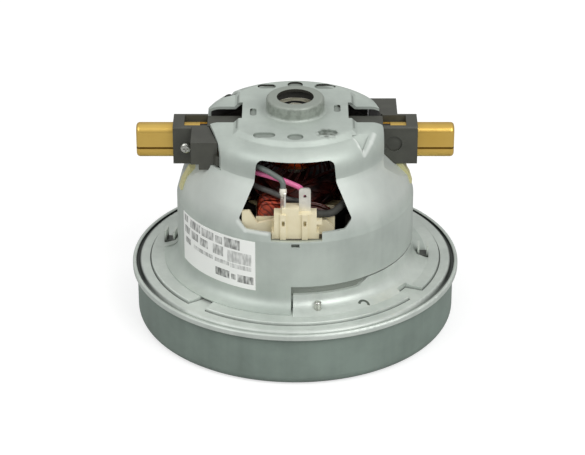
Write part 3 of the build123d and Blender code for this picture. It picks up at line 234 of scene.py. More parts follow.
def moulding_finish(name, dark, light, roughness, grain_scale, relief):
    """Moulded plastic: nearly even colour, a finely eroded mould surface, faint flow marks."""
    finish, tree, shader = new_finish(name)
    place = object_place(tree)
    flow = noise(tree, place, 130.0, 3.0, Distortion=0.6)
    skin = noise(tree, place, grain_scale, 2.0)
    connect(
        tree,
        shader,
        Base_Color=tint(tree, flow, dark, light),
        Roughness=ramp(tree, flow, 0.0, 1.0, roughness - 0.08, roughness + 0.08),
        Normal=uneven(tree, skin, relief),
    )
    return finish


dark_moulding = moulding_finish(
    "dark_moulding", tone(34, 34, 34), tone(58, 58, 56), roughness=0.6, grain_scale=2400.0, relief=0.3
)
wear(dark_moulding, "diffuser")

# Lower bracket: the bright plated plate in the drum's mouth. Its raised centre has pressed
# notches, its hem carries the stator, and two aprons stand under the motor frame's open wall.
# Its groove is painted dark as painted shade, less at the front, and a small arc is struck beside the front
# screw.
bright_sheet = sheet_finish(
    "bright_zinc_sheet", tone(186, 194, 187), tone(212, 219, 212),
    patch_scale=38.0, streak_share=0.25, roughness=(0.34, 0.48), metal=0.35, relief=0.07,
)
groove_radii = (0.0505, 0.0689)
groove_heights = (0.02490, 0.02535)
groove_shade_share = 0.70
outer_ring_radius = 0.0655
outer_ring_turn = (-0.75, -0.30)
outer_ring_shade_share = (0.10, 0.95)
arc_centre = (0.0286, -0.0478, 0.0)
arc_inner_edge = (0.0012, 0.0015)
arc_outer_edge = (0.0023, 0.0026)
arc_front = -0.0480


def top_layer(finish):
    """A finish's nodes, its shader and the colour that a further layer goes over."""
    tree = finish.node_tree
    shader = tree.nodes["Principled BSDF"]
    return tree, shader, shader.inputs["Base Color"].links[0].from_socket


def across(tree, place):
    """A place seen from above, and its distance from the motor's axis."""
    flat = reckon_vector(tree, "MULTIPLY", place, (1.0, 1.0, 0.0))
    return flat, reckon_vector(tree, "LENGTH", flat, result="Value")


tree, shader, plated = top_layer(bright_sheet)
place = object_place(tree)
flat, distance = across(tree, place)
position = put(tree, "SeparateXYZ", {0: place}).outputs
groove = all_of(
    tree,
    reckon(tree, "GREATER_THAN", distance, groove_radii[0]),
    reckon(tree, "LESS_THAN", distance, groove_radii[1]),
    ramp(tree, position["Z"], *groove_heights, 1.0, 0.0),
)
sideways = reckon(tree, "DIVIDE", position["Y"], distance)
towards_front = ramp(tree, sideways, *outer_ring_turn, *outer_ring_shade_share)
on_outer_ring = reckon(tree, "GREATER_THAN", distance, outer_ring_radius)
# Painted shade: the groove is darkened, and on the outer ring the shadow gap fades out towards the front.
groove_shade = all_of(tree, groove, between(tree, on_outer_ring, groove_shade_share, towards_front))
groove_shaded = tint(tree, groove_shade, plated, tone(38, 44, 40))
from_arc = reckon_vector(tree, "DISTANCE", flat, arc_centre, result="Value")
arc = all_of(
    tree,
    ramp(tree, from_arc, *arc_outer_edge, 1.0, 0.0),
    ramp(tree, from_arc, *arc_inner_edge),
    reckon(tree, "GREATER_THAN", position["Y"], arc_front),
)
connect(tree, shader, Base_Color=tint(tree, arc, groove_shaded, tone(84, 92, 84)))
wear(bright_sheet, "lower_bracket")

# Ball bearings: ground steel rings, caged balls and thin pressed shields. A black rubber ring
# holds the upper one down in its cup.
ground_steel = steel_finish("ground_steel", tone(148, 150, 152), tone(208, 210, 212), roughness=(0.14, 0.26))
pressed_steel = sheet_finish(
    "pressed_bearing_steel", tone(178, 174, 150), tone(224, 220, 198),
    patch_scale=500.0, streak_share=0.3, roughness=(0.3, 0.45), metal=0.5, relief=0.05,
)
for end in ("lower", "upper"):
    wear(ground_steel, end + "_bearing_outer_ring", end + "_bearing_inner_ring", end + "_bearing_balls")
    wear(pressed_steel, end + "_bearing_shields")
rubber = moulding_finish(
    "black_rubber", tone(26, 26, 25), tone(44, 44, 42), roughness=0.75, grain_scale=1800.0, relief=0.3
)
wear(rubber, "bearing_cushion")

# Shaft: a ground steel rod through both bearings, with the armature and the commutator on it. Its
# upper end shows in the cup.
wear(pressed_steel, "shaft")

# Armature: stacked steel sheets with pressed-board insulators, and red enamelled wire whose end
# turns are crossed from slot to slot and dipped in varnish.
core_steel, tree, shader = new_finish("stacked_core_steel", Metallic=0.7)
place = object_place(tree)
sheets = put(tree, "TexWave", {"Vector": place, "Scale": 320.0, "Distortion": 0.3}, bands_direction="Z")
rust = noise(tree, place, 140.0, 4.0)
connect(
    tree,
    shader,
    Base_Color=tint(tree, rust, tone(44, 40, 36), tone(92, 88, 82)),
    Roughness=ramp(tree, rust, 0.0, 1.0, 0.35, 0.6),
    Normal=uneven(tree, sheets.outputs["Fac"], 0.4, depth=0.0002),
)
wear(core_steel, "armature_core")

pressed_board = moulding_finish(
    "pressed_board", tone(176, 158, 112), tone(206, 190, 146), roughness=0.8, grain_scale=1500.0, relief=0.4
)
wear(pressed_board, "armature_insulators")


def enamel_finish(name, dark, light, roughness):
    """Enamelled copper wire with uneven dipping varnish."""
    finish, tree, shader = new_finish(name, Coat_Weight=0.1)
    place = object_place(tree)
    dip = noise(tree, place, 260.0, 3.0)
    connect(
        tree,
        shader,
        Base_Color=tint(tree, ramp(tree, dip, 0.35, 0.65), dark, light),
        Roughness=ramp(tree, dip, 0.0, 1.0, roughness - 0.1, roughness + 0.15),
        Normal=uneven(tree, noise(tree, place, 2200.0, 1.0), 0.15),
    )
    return finish


# The armature's red enamel is painted darker as painted shade inside the housing.
enamel = enamel_finish("shade_darkened_wire_enamel", tone(40, 13, 8), tone(104, 32, 18), roughness=0.55)


def new_piece(name, mesh, finish, body):
    """A finished piece with its place in its mesh, riding on a body."""
    mesh.materials.append(finish)
    piece = bpy.data.objects.new(name, mesh)
    bpy.context.scene.collection.objects.link(piece)
    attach(piece, body)
    return piece


def wire_mesh(name, routes, radius):
    """Wires along smooth routes as one mesh."""
    curve = bpy.data.curves.new(name, "CURVE")
    curve.dimensions = "3D"
    curve.bevel_depth = radius
    curve.bevel_resolution = 1
    curve.use_fill_caps = True
    curve.resolution_u = 3
    for route in routes:
        line = curve.splines.new("NURBS")
        line.points.add(len(route) - 1)
        for point, place in zip(line.points, route):
            point.co = (*place, 1.0)
        line.order_u = 3
        line.use_endpoint_u = True
    holder = bpy.data.objects.new(name, curve)
    mesh = bpy.data.meshes.new_from_object(holder)
    bpy.data.objects.remove(holder)
    for face in mesh.polygons:
        face.use_smooth = True
    return mesh


def spin_profile(form, profile, steps, closed):
    """Turn a line of radii and heights all the way round the axis."""
    line = [form.verts.new((radius, 0, height)) for radius, height in profile]
    ends = zip(line, line[1:] + line[:1]) if closed else zip(line, line[1:])
    edges = [form.edges.new(pair) for pair in ends]
    bmesh.ops.spin(
        form, geom=line + edges, cent=(0, 0, 0), axis=(0, 0, 1), angle=math.tau, steps=steps, use_merge=True
    )


def swing(form, angle, verts):
    """Turn some points round the motor's axis."""
    bmesh.ops.rotate(form, cent=(0, 0, 0), matrix=Matrix.Rotation(angle, 3, "Z"), verts=verts)


def shaped_mesh(form, name):
    """Mesh of a finished shape."""
    mesh = bpy.data.meshes.new(name)
    form.to_mesh(mesh)
    form.free()
    return mesh


def around(radius, angle, height):
    """Point at a radius and an angle from the front, in metres and degrees."""
    turn = math.radians(angle)
    return Vector((radius * math.sin(turn), -radius * math.cos(turn), height))


slot_count = 12
slot_radius = 0.0195
slot_bar_size = (0.0080, 0.0033, 0.0270)
slot_bar_centre = (0.0172, 0, 0.0445)
strands_per_slot = 9
strand_radius = 0.0004
strand_spread = 7.0
coil_span = 150
wire_top = 0.0694
stack_top = 0.0572
stack_foot = 0.0318
wire_foot = 0.0259
crown_bore = 0.0052
crown_low_radius = 0.0198
crown_mid_radius = 0.0204
crown_high_radius = 0.0182
crown_heights = ((0.0575, 0.0672), (0.0282, 0.0315))
end_turn_shape = (
    (0.06, 0.5, 1.10),
    (0.20, 0.92, 1.04),
    (0.36, 1.0, 0.84),
    (0.50, 1.0, 0.74),
    (0.64, 1.0, 0.84),
    (0.80, 0.92, 1.04),
    (0.94, 0.5, 1.10),
)
lay = random.Random(4)


def end_turn(slot, strand, foot, top):
    """One strand from a slot over the shaft's side to the fifth slot on."""
    start = slot * 360 / slot_count
    spread = (strand / (strands_per_slot - 1) - 0.5) * strand_spread
    reach = slot_radius + lay.uniform(-0.0006, 0.0014)
    rise = (top - foot) * (0.55 + 0.4 * (slot % 4) / 3 + lay.uniform(-0.04, 0.04))
    points = [around(reach - 0.001, start + spread, foot)]
    for share, height_share, radius_share in end_turn_shape:
        wander = lay.uniform(-0.00025, 0.00025)
        angle = start + spread + share * (coil_span - 2 * spread)
        points.append(around(reach * radius_share + wander, angle, foot + rise * height_share + wander))
    points.append(around(reach - 0.001, start + coil_span - spread, foot))
    return points


routes = []
for slot in range(slot_count):
    for strand in range(strands_per_slot):
        routes.append(end_turn(slot, strand, stack_top, wire_top))
        routes.append(end_turn(slot, strand, stack_foot, wire_foot))
strands = wire_mesh("armature_strands", routes, strand_radius)

form = bmesh.new()
for low, high in crown_heights:
    crown = (
        (crown_bore, low),
        (crown_low_radius, low),
        (crown_mid_radius, (low + high) / 2),
        (crown_high_radius, high),
        (crown_bore, high),
    )
    spin_profile(form, crown, steps=48, closed=True)
for slot in range(slot_count):
    bar = bmesh.ops.create_cube(form, size=1.0)["verts"]
    bmesh.ops.scale(form, vec=slot_bar_size, verts=bar)
    bmesh.ops.translate(form, vec=slot_bar_centre, verts=bar)
    swing(form, slot * math.tau / slot_count, bar)
bmesh.ops.recalc_face_normals(form, faces=form.faces)
form.from_mesh(strands)
winding_mesh = shaped_mesh(form, "armature_wire")
armature_wire = new_piece("armature_wire", winding_mesh, enamel, "rotor")
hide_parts("armature_winding", "armature_end_wires")

# Commutator: copper bars moulded on a hub. Each bar's riser takes two wire ends that come up from
# the end turns.
copper, tree, shader = new_finish("turned_copper", Metallic=1.0)
marks = put(tree, "Group", {"Patch Scale": 220.0}, node_tree=sheet_marks).outputs
connect(
    tree,
    shader,
    Base_Color=tint(tree, marks["Patches"], tone(176, 84, 42), tone(246, 150, 88)),
    Roughness=ramp(tree, marks["Streaks"], 0.0, 1.0, 0.22, 0.42),
)
wear(copper, "commutator_bars")
wear(dark_moulding, "commutator_hub")

bar_count = 24
first_bar_angle = 14.0
wire_end_radius = 0.0003
wire_end_angle = 1.6
wire_end_shape = (
    (0.0150, -15, 1.0, 0.0672),
    (0.0142, -11, 1.0, 0.0694),
    (0.0128, -4, 0.5, 0.0708),
    (0.0121, 0, 0.5, 0.0721),
    (0.0121, 0, 0.5, 0.0728),
)


def wire_end(angle, side):
    """One wire end from the end turns up to a bar's riser."""
    return [
        around(radius, angle + lag + side * share, height) for radius, lag, share, height in wire_end_shape
    ]


routes = []
for bar in range(bar_count):
    for side in (-wire_end_angle, wire_end_angle):
        routes.append(wire_end(bar * 360 / bar_count + first_bar_angle, side))
wire_ends_mesh = wire_mesh("wire_ends", routes, wire_end_radius)
wire_ends = new_piece("commutator_wire_ends", wire_ends_mesh, enamel, "rotor")
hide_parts("armature_lead_wires")

# Stator: stacked sheets with a pole in front and behind, a cream bobbin on each pole, and a field
# coil of red enamelled wire wound on each bobbin in layers that cross. The sheets' rim is grey,
# and the coils are painted dark on their right side as painted shade.
painted_core = core_steel.copy()
painted_core.name = "painted_core_steel"
painted_radius = 0.0470
tree, shader, bare = top_layer(painted_core)
distance = across(tree, object_place(tree))[1]
on_rim = reckon(tree, "GREATER_THAN", distance, painted_radius)
connect(tree, shader, Base_Color=tint(tree, on_rim, bare, tone(150, 156, 148)))
wear(painted_core, "stator_core")

cream_moulding = moulding_finish(
    "cream_moulding", tone(224, 212, 174), tone(244, 236, 206), roughness=0.5, grain_scale=1900.0, relief=0.25
)
wear(cream_moulding, "bobbin_front", "bobbin_rear")

shade_side_edge = (-0.0045, -0.0005)
shade_side_share = 0.85
coil_enamel = enamel_finish("red_wire_enamel", tone(104, 26, 14), tone(206, 82, 52), roughness=0.34)
tree, shader, clean = top_layer(coil_enamel)
place = object_place(tree)
wound = {"Vector": place, "Scale": 230.0, "Distortion": 5.0, "Detail": 2.0}
turns = put(tree, "TexWave", wound, bands_direction="DIAGONAL").outputs["Fac"]
laid = tint(tree, ramp(tree, turns, 0.05, 0.45, 0.75, 0.0), clean, tone(52, 10, 6))
sideways = put(tree, "SeparateXYZ", {0: place}).outputs["X"]
# Painted shade: the coil darkens towards its right side.
varnish = ramp(tree, sideways, *shade_side_edge, 0.0, shade_side_share)
connect(tree, shader, Base_Color=tint(tree, varnish, laid, tone(34, 22, 18)))

coil_near = 0.0299
coil_far = 0.0376
coil_layers = 9
turns_per_layer = 7
points_per_turn = 30
coil_wire_radius = 0.0004
inner_half_width, half_width_growth, half_width_bulge = 0.0137, 0.0017, 0.0003
inner_low, low_growth = 0.0302, 0.0046
inner_high, high_growth, high_bulge = 0.0602, 0.0104, 0.0005
inner_corner, corner_growth = 0.0030, 0.0018
wire_sway, wire_stray = 0.0010, 0.0003
coil_half_width = 0.0151
lean_foot = 0.0450
lean_height = 0.0252
lean_fall = 0.0060
coil_body_depths = (0.0296, 0.0378)
coil_body_points = 40


def loop_point(half_x, low, high, corner, share):
    """Point on a rounded loop round the pole, by its share of the way round from the bottom."""
    straight_x = half_x - corner
    straight_z = high - low - 2 * corner
    bend = corner * math.pi / 2
    way = share * (4 * straight_x + 2 * straight_z + 4 * bend)
    x, z = 0.0, low
    for index, length in enumerate((straight_x, straight_z, 2 * straight_x, straight_z, straight_x)):
        heading = index * math.pi / 2
        step = min(way, length)
        x += step * math.cos(heading)
        z += step * math.sin(heading)
        way -= step
        if way <= 0 or index == 4:
            break
        turn = min(way, bend) / corner
        centre_x = x - corner * math.sin(heading)
        centre_z = z + corner * math.cos(heading)
        x = centre_x + corner * math.sin(heading + turn)
        z = centre_z - corner * math.cos(heading + turn)
        way -= turn * corner
        if way <= 0:
            break
    return x, z


def lean(x, z):
    """Height of a point of the coil, whose top falls towards the right."""
    fall = lean_fall * (x + coil_half_width) / (2 * coil_half_width)
    return z - fall * max(z - lean_foot, 0) / lean_height


def coil_route():
    """One wire wound in layers that run to and fro along the pole and spread out above it."""
    points = []
    pitch = (coil_far - coil_near) / turns_per_layer
    for layer in range(coil_layers):
        share = layer / (coil_layers - 1)
        start, way = (coil_near, 1) if layer % 2 == 0 else (coil_far, -1)
        drift = lay.uniform(0, 6)
        for step in range(turns_per_layer * points_per_turn):
            bulge = 0.5 + 0.5 * math.sin(step * 0.23 + drift)
            half_x = inner_half_width + half_width_growth * share + half_width_bulge * bulge
            low = inner_low - low_growth * share
            high = inner_high + high_growth * share + high_bulge * bulge
            corner = inner_corner + corner_growth * share
            x, z = loop_point(half_x, low, high, corner, (step % points_per_turn) / points_per_turn)
            slack = wire_sway * math.sin(step * 0.37 + drift) + lay.uniform(-wire_stray, wire_stray)
            depth = min(max(start + way * step * pitch / points_per_turn + slack, coil_near), coil_far)
            points.append(Vector((x, -depth, lean(x, z))))
    return points


def body_loop(half_x, low, high, corner):
    """Outline of the coil's inner body, or of the pole's hole in it."""
    steps = range(coil_body_points)
    return [loop_point(half_x, low, high, corner, step / coil_body_points) for step in steps]


def coil_mesh(turn):
    """Field coil: the layered wire over a plain inner body with the pole's hole in it."""
    body = bmesh.new()
    outline = body_loop(half_x=0.0148, low=0.0262, high=0.0696, corner=0.0044)
    hole = body_loop(half_x=0.0133, low=0.0305, high=0.0585, corner=0.0010)
    rings = []
    for depth in coil_body_depths:
        for shape in (outline, hole):
            ring = [body.verts.new((x, -depth, lean(x, z))) for x, z in shape]
            rings.append([body.edges.new(pair) for pair in zip(ring, ring[1:] + ring[:1])])
    near_outline, near_hole, far_outline, far_hole = rings
    for pair in (
        near_outline + far_outline,
        near_hole + far_hole,
        near_outline + near_hole,
        far_outline + far_hole,
    ):
        bmesh.ops.bridge_loops(body, edges=pair)
    bmesh.ops.recalc_face_normals(body, faces=body.faces)
    body.from_mesh(wire_mesh("coil_wire", [coil_route()], coil_wire_radius))
    swing(body, turn, body.verts)
    return shaped_mesh(body, "field_coil")


for end, turn in (("front", 0.0), ("rear", math.pi)):
    coil = new_piece("field_coil_" + end, coil_mesh(turn), coil_enamel, "frame")
    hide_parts("coil_" + end + "_core", "coil_" + end + "_wire")

# Terminal block: a cream moulding on the front of the stator. It holds two tinned brass tabs, which
# stand up in the window.
wear(cream_moulding, "terminal_block")
tinned = sheet_finish(
    "tinned_brass", tone(214, 212, 202), tone(240, 238, 228),
    patch_scale=300.0, streak_share=0.3, roughness=(0.26, 0.42), metal=0.55, relief=0.05,
)
wear(tinned, "terminal_left", "terminal_right")

# Solder joint: a pale drop of solder over the left tab's tip. It holds the grey lead's bared end
# there.
solder = moulding_finish(
    "pale_solder", tone(214, 210, 192), tone(240, 238, 226), roughness=0.35, grain_scale=1500.0, relief=0.2
)
solder_profile = (
    (0.0, 0.0790), (0.0010, 0.0788), (0.0016, 0.0780), (0.0017, 0.0768),
    (0.0013, 0.0753), (0.0007, 0.0747), (0.0, 0.0747),
)
solder_stretch = (0.9, 1.15, 1.0)
solder_axis = (-0.0050, -0.0426, 0)
form = bmesh.new()
spin_profile(form, solder_profile, steps=24, closed=False)
bmesh.ops.remove_doubles(form, verts=form.verts, dist=0.00001)
bmesh.ops.scale(form, vec=solder_stretch, verts=form.verts)
bmesh.ops.translate(form, vec=solder_axis, verts=form.verts)
bmesh.ops.recalc_face_normals(form, faces=form.faces)
for face in form.faces:
    face.smooth = True
new_piece("solder_joint", shaped_mesh(form, "solder_joint"), solder, "frame")

# Motor frame: the light grey pressed housing, with its windows, shoulder, neck, bridge and cup.
# Bright lines along the edges of its windows and darts are painted highlights, and the band of its shoulder
# is painted lighter as painted light. The cup's top, the cup's upright side, the dimples and a patch beside
# the front right dimple are darker, and faces that point inwards or downwards are painted dark as painted
# shade.
light_sheet = sheet_finish(
    "light_zinc_sheet", tone(174, 183, 176), tone(196, 205, 197),
    patch_scale=34.0, streak_share=0.2, roughness=(0.40, 0.54), metal=0.30, relief=0.08,
)
inside_shade_turn = (0.25, 0.6)
cup_edge = (0.0135, 0.0155)
cup_heights = (0.0935, 0.0955)
dimple_floor = 0.0929
dimple_heights = (0.09345, 0.09375)
dimple_reach = (0.0292, 0.0297)
dimple_darkening = 0.5
shoulder_start = (0.0590, 0.0645)
shoulder_end = (0.0775, 0.0815)
shoulder_light_share = 0.32
dark_patch_centre = (0.0132, -0.0228, 0.0942)
dark_patch_edge = (0.0030, 0.0055)
dark_patch_share = 0.75
cup_side_edge = (0.0150, 0.0165)
cup_side_share = 0.30
upright_turn = (0.4, 0.9)
edge_highlight_lines = (
    (around(0.0343, 45.6, 0.0919), around(0.0380, 44.0, 0.0902), 0.0012),
    (around(0.0380, 44.0, 0.0902), around(0.0404, 44.8, 0.0869), 0.0013),
    (around(0.0370, 62.5, 0.0909), around(0.0386, 54.4, 0.0897), 0.0014),
    (around(0.0386, 54.4, 0.0897), around(0.0404, 44.8, 0.0869), 0.0014),
    (around(0.0490, -28.9, 0.0634), around(0.0497, -24.6, 0.0606), 0.0014),
    (around(0.0497, -24.6, 0.0606), around(0.0498, -13.5, 0.0605), 0.0012),
)


def near_line_group():
    """Mask of what lies near the straight line between two points."""
    origin = (0.0, 0.0, 0.0)
    group, given, out = new_group(
        "near_line", {"Place": origin, "From": origin, "To": origin, "Width": 0.001}, ("Mask",)
    )
    line = reckon_vector(group, "SUBTRACT", given["To"], given["From"])
    reach = reckon_vector(group, "SUBTRACT", given["Place"], given["From"])
    along = reckon_vector(group, "DOT_PRODUCT", reach, line, result="Value")
    whole = reckon_vector(group, "DOT_PRODUCT", line, line, result="Value")
    share = put(group, "Math", {0: along, 1: whole}, operation="DIVIDE", use_clamp=True).outputs[0]
    foot = put(group, "VectorMath", {0: line, "Scale": share}, operation="SCALE").outputs[0]
    away = reckon_vector(group, "DISTANCE", reach, foot, result="Value")
    ratio = reckon(group, "DIVIDE", away, given["Width"])
    group.links.new(ramp(group, ratio, 0.2, 1.0, 0.9, 0.0), out["Mask"])
    return group


near_line = near_line_group()
tree, shader, plated = top_layer(light_sheet)
coords = put(tree, "TexCoord").outputs
place = coords["Object"]
height = put(tree, "SeparateXYZ", {0: place}).outputs["Z"]
flat, distance = across(tree, place)
outwards = reckon_vector(tree, "NORMALIZE", flat)
facing = reckon_vector(tree, "DOT_PRODUCT", coords["Normal"], outwards, result="Value")
upwards = put(tree, "SeparateXYZ", {0: coords["Normal"]}).outputs["Z"]
inwards = reckon(tree, "MULTIPLY", facing, -1.0)
downwards = reckon(tree, "MULTIPLY", upwards, -1.0)
# Painted shade: faces that point inwards or downwards are painted dark.
inside_shade = ramp(tree, reckon(tree, "MAXIMUM", inwards, downwards), *inside_shade_turn)

on_cup = all_of(tree, ramp(tree, distance, *cup_edge, 1.0, 0.0), ramp(tree, height, *cup_heights))
colour = tint(tree, on_cup, plated, tone(156, 163, 154))
# Painted highlights: bright lines along the window and dart edges.
for turn in (1.0, -1.0):
    for start, end, width in edge_highlight_lines:
        line = {
            "Place": place,
            "From": (turn * start.x, turn * start.y, start.z),
            "To": (turn * end.x, turn * end.y, end.z),
            "Width": width,
        }
        edge_highlight = put(tree, "Group", line, node_tree=near_line).outputs[0]
        colour = tint(tree, edge_highlight, colour, tone(226, 232, 226))
# The dimple floors are darker.
in_dimple = all_of(
    tree,
    ramp(tree, height, *dimple_heights, 1.0, 0.0),
    ramp(tree, distance, *dimple_reach, 1.0, 0.0),
    reckon(tree, "GREATER_THAN", height, dimple_floor),
    dimple_darkening,
)
colour = tint(tree, in_dimple, colour, tone(88, 94, 86))
# Painted light: the shoulder's band is painted lighter.
shoulder_light = all_of(
    tree, ramp(tree, height, *shoulder_start), ramp(tree, height, *shoulder_end, 1.0, 0.0), shoulder_light_share
)
colour = tint(tree, shoulder_light, colour, tone(238, 242, 237))
# Darker in patches near the front right dimple and on the cup's upright side.
from_dark_patch = reckon_vector(tree, "DISTANCE", place, dark_patch_centre, result="Value")
near_dark_patch = ramp(tree, from_dark_patch, *dark_patch_edge, dark_patch_share, 0.0)
near_cup = ramp(tree, distance, *cup_side_edge, cup_side_share, 0.0)
upright = ramp(tree, upwards, *upright_turn, 1.0, 0.1)
patchy = ramp(tree, noise(tree, place, 480.0, 2.0), 0.44, 0.60)
darkening = all_of(tree, patchy, reckon(tree, "MAXIMUM", near_dark_patch, all_of(tree, near_cup, upright)))
colour = tint(tree, darkening, colour, tone(84, 90, 80))
connect(tree, shader, Base_Color=tint(tree, inside_shade, colour, tone(50, 49, 44)))
wear(light_sheet, "motor_frame")

# Brush gear: a drawn brass tube on each side, held in a black moulded block that a screw fixes,
# with the carbon brush and its spring inside and a pale insulating strip below. Along each tube
# runs a seam, painted dark as painted shade in its groove.
seam_low = (0.07760, 0.07780)
seam_high = (0.07845, 0.07865)
brass, tree, shader = new_finish("drawn_brass", Metallic=0.72)
place = object_place(tree)
height = put(tree, "SeparateXYZ", {0: place}).outputs["Z"]
drawn = put(tree, "Mapping", {"Vector": place, "Scale": (0.05, 1.0, 1.0)}).outputs[0]
tarnished = tint(tree, noise(tree, place, 55.0, 2.0), tone(214, 172, 78), tone(238, 206, 116))
# Painted shade: a dark band along the seam.
seam_shade = all_of(tree, ramp(tree, height, *seam_high, 1.0, 0.0), ramp(tree, height, *seam_low))
connect(
    tree,
    shader,
    Base_Color=tint(tree, seam_shade, tarnished, tone(104, 78, 14)),
    Roughness=ramp(tree, noise(tree, drawn, 420.0, 2.0), 0.0, 1.0, 0.24, 0.38),
)
black_moulding = moulding_finish(
    "black_moulding", tone(56, 57, 51), tone(80, 81, 73), roughness=0.45, grain_scale=2200.0, relief=0.25
)
carbon = moulding_finish(
    "pressed_carbon", tone(30, 30, 30), tone(52, 52, 52), roughness=0.7, grain_scale=3000.0, relief=0.5
)
strip_board = moulding_finish(
    "pale_strip", tone(188, 184, 128), tone(220, 216, 168), roughness=0.5, grain_scale=1500.0, relief=0.2
)
spring_steel = steel_finish("spring_steel", tone(90, 92, 94), tone(130, 132, 134), roughness=(0.25, 0.4))
for side in ("left", "right"):
    wear(brass, "brush_tube_" + side)
    wear(black_moulding, "brush_holder_" + side)
    wear(carbon, "carbon_brush_" + side)
    wear(spring_steel, "brush_spring_" + side)
wear(bright_steel, "holder_screws")
wear(strip_board, "holder_strips")

# Ear pads: a black moulded pad fills the gap between the tip of each holder's ear and the housing's
# wall, where it is pushed in from above.
pad_outline = ((0.03245, 0.02250), (0.03400, 0.02250), (0.03280, 0.02445), (0.03157, 0.02445))
pad_foot = 0.0797
pad_height = 0.0042
for side, turn in (("right", 0.0), ("left", math.pi)):
    form = bmesh.new()
    low_face = form.faces.new([form.verts.new((x, y, pad_foot)) for x, y in pad_outline])
    raised = bmesh.ops.extrude_face_region(form, geom=[low_face])["geom"]
    tops = [item for item in raised if isinstance(item, bmesh.types.BMVert)]
    bmesh.ops.translate(form, vec=(0, 0, pad_height), verts=tops)
    bmesh.ops.recalc_face_normals(form, faces=form.faces)
    swing(form, turn, form.verts)
    new_piece("ear_pad_" + side, shaped_mesh(form, "ear_pad"), black_moulding, "frame")

# Rating label: silvery film, bent round the housing's wall and stuck to it. It is printed with
# plain broken bars only.
label_angles = (math.radians(-68), math.radians(-19))
label_heights = (0.0338, 0.0564)
printed_bars = (
    (0.03, 0.11, 0.83, 0.97, 0.78), (0.16, 0.34, 0.79, 0.96, 0.80), (0.36, 0.53, 0.78, 0.95, 0.72),
    (0.55, 0.64, 0.78, 0.93, 0.62), (0.66, 0.84, 0.76, 0.96, 0.84),
    (0.04, 0.15, 0.60, 0.75, 0.80), (0.18, 0.30, 0.58, 0.74, 0.78), (0.33, 0.45, 0.56, 0.72, 0.76),
    (0.52, 0.65, 0.54, 0.74, 0.72), (0.70, 0.96, 0.48, 0.72, 0.52), (0.78, 0.95, 0.54, 0.66, 0.30),
    (0.05, 0.16, 0.40, 0.52, 0.94), (0.22, 0.52, 0.40, 0.48, 0.64), (0.54, 0.72, 0.39, 0.47, 0.58),
    (0.73, 0.96, 0.37, 0.46, 0.54), (0.55, 0.72, 0.12, 0.28, 0.95), (0.74, 0.79, 0.13, 0.24, 0.80),
    (0.81, 0.98, 0.10, 0.26, 0.92),
)


def print_bar_group():
    """Mask of one printed bar between two shares of the label's length and two of its height."""
    sockets = ("Along", "Up", "Start", "End", "Low", "High")
    group, given, out = new_group("print_bar", dict.fromkeys(sockets, 0.0), ("Mask",))
    mask = all_of(
        group,
        reckon(group, "GREATER_THAN", given["Along"], given["Start"]),
        reckon(group, "LESS_THAN", given["Along"], given["End"]),
        reckon(group, "GREATER_THAN", given["Up"], given["Low"]),
        reckon(group, "LESS_THAN", given["Up"], given["High"]),
    )
    group.links.new(mask, out["Mask"])
    return group


print_bar = print_bar_group()
label_film, tree, shader = new_finish("label_film", Roughness=0.38)
place = object_place(tree)
position = put(tree, "SeparateXYZ", {0: place}).outputs
angle = reckon(tree, "ARCTAN2", position["X"], reckon(tree, "MULTIPLY", position["Y"], -1.0))
along = ramp(tree, angle, *label_angles)
up = ramp(tree, position["Z"], *label_heights)
ink = 0.0
for start, end, low, high, strength in printed_bars:
    edges = {"Along": along, "Up": up, "Start": start, "End": end, "Low": low, "High": high}
    bar = put(tree, "Group", edges, node_tree=print_bar).outputs[0]
    ink = reckon(tree, "MAXIMUM", reckon(tree, "MULTIPLY", bar, strength), ink)
strokes = put(tree, "CombineXYZ", {"X": along, "Y": up}).outputs[0]
strokes = put(tree, "Mapping", {"Vector": strokes, "Scale": (40.0, 6.0, 1.0)}).outputs[0]
gaps = ramp(tree, noise(tree, strokes, 1.0, 1.0), 0.36, 0.64, 0.35, 0.95)
film = tint(tree, noise(tree, place, 60.0, 2.0), tone(247, 250, 245), tone(254, 255, 252))
connect(tree, shader, Base_Color=tint(tree, all_of(tree, ink, gaps), film, tone(62, 66, 62)))
wear(label_film, "rating_label")

# Flange screws and clips: bright plated pieces that stand on the bracket's raised centre. The clips
# are painted dark low down, between their prongs, as painted shade.
wear(bright_steel, "flange_screws")
clip_shade_heights = (0.0272, 0.0305)
clip_steel, tree, shader = new_finish("clip_steel_painted_shade", Metallic=0.3, Roughness=0.4)
height = put(tree, "SeparateXYZ", {0: object_place(tree)}).outputs["Z"]
# Painted shade: the clip darkens towards its foot.
darkening = ramp(tree, height, *clip_shade_heights, 1.0, 0.0)
connect(tree, shader, Base_Color=tint(tree, darkening, tone(208, 214, 206), tone(52, 56, 50)))
wear(clip_steel, "flange_clips")

# Leads: soft insulated wires from the brush holders to the tabs and the coils. The one on the right
# runs in a dark sleeve.


def cover_finish(name, dark, light, roughness):
    """Soft cable cover with a slightly uneven colour."""
    finish, tree, shader = new_finish(name, Roughness=roughness)
    dust = noise(tree, object_place(tree), 500.0, 3.0)
    connect(tree, shader, Base_Color=tint(tree, dust, dark, light), Normal=uneven(tree, dust, 0.2))
    return finish


wear(cover_finish("grey_cover", tone(84, 92, 88), tone(118, 126, 120), roughness=0.4), "lead_grey")
wear(cover_finish("pink_cover", tone(214, 84, 140), tone(246, 140, 186), roughness=0.4), "lead_pink")
wear(cover_finish("dark_cover", tone(62, 62, 60), tone(96, 96, 92), roughness=0.45), "lead_dark")
wear(cover_finish("sleeve", tone(34, 34, 32), tone(66, 66, 60), roughness=0.7), "lead_sleeved")

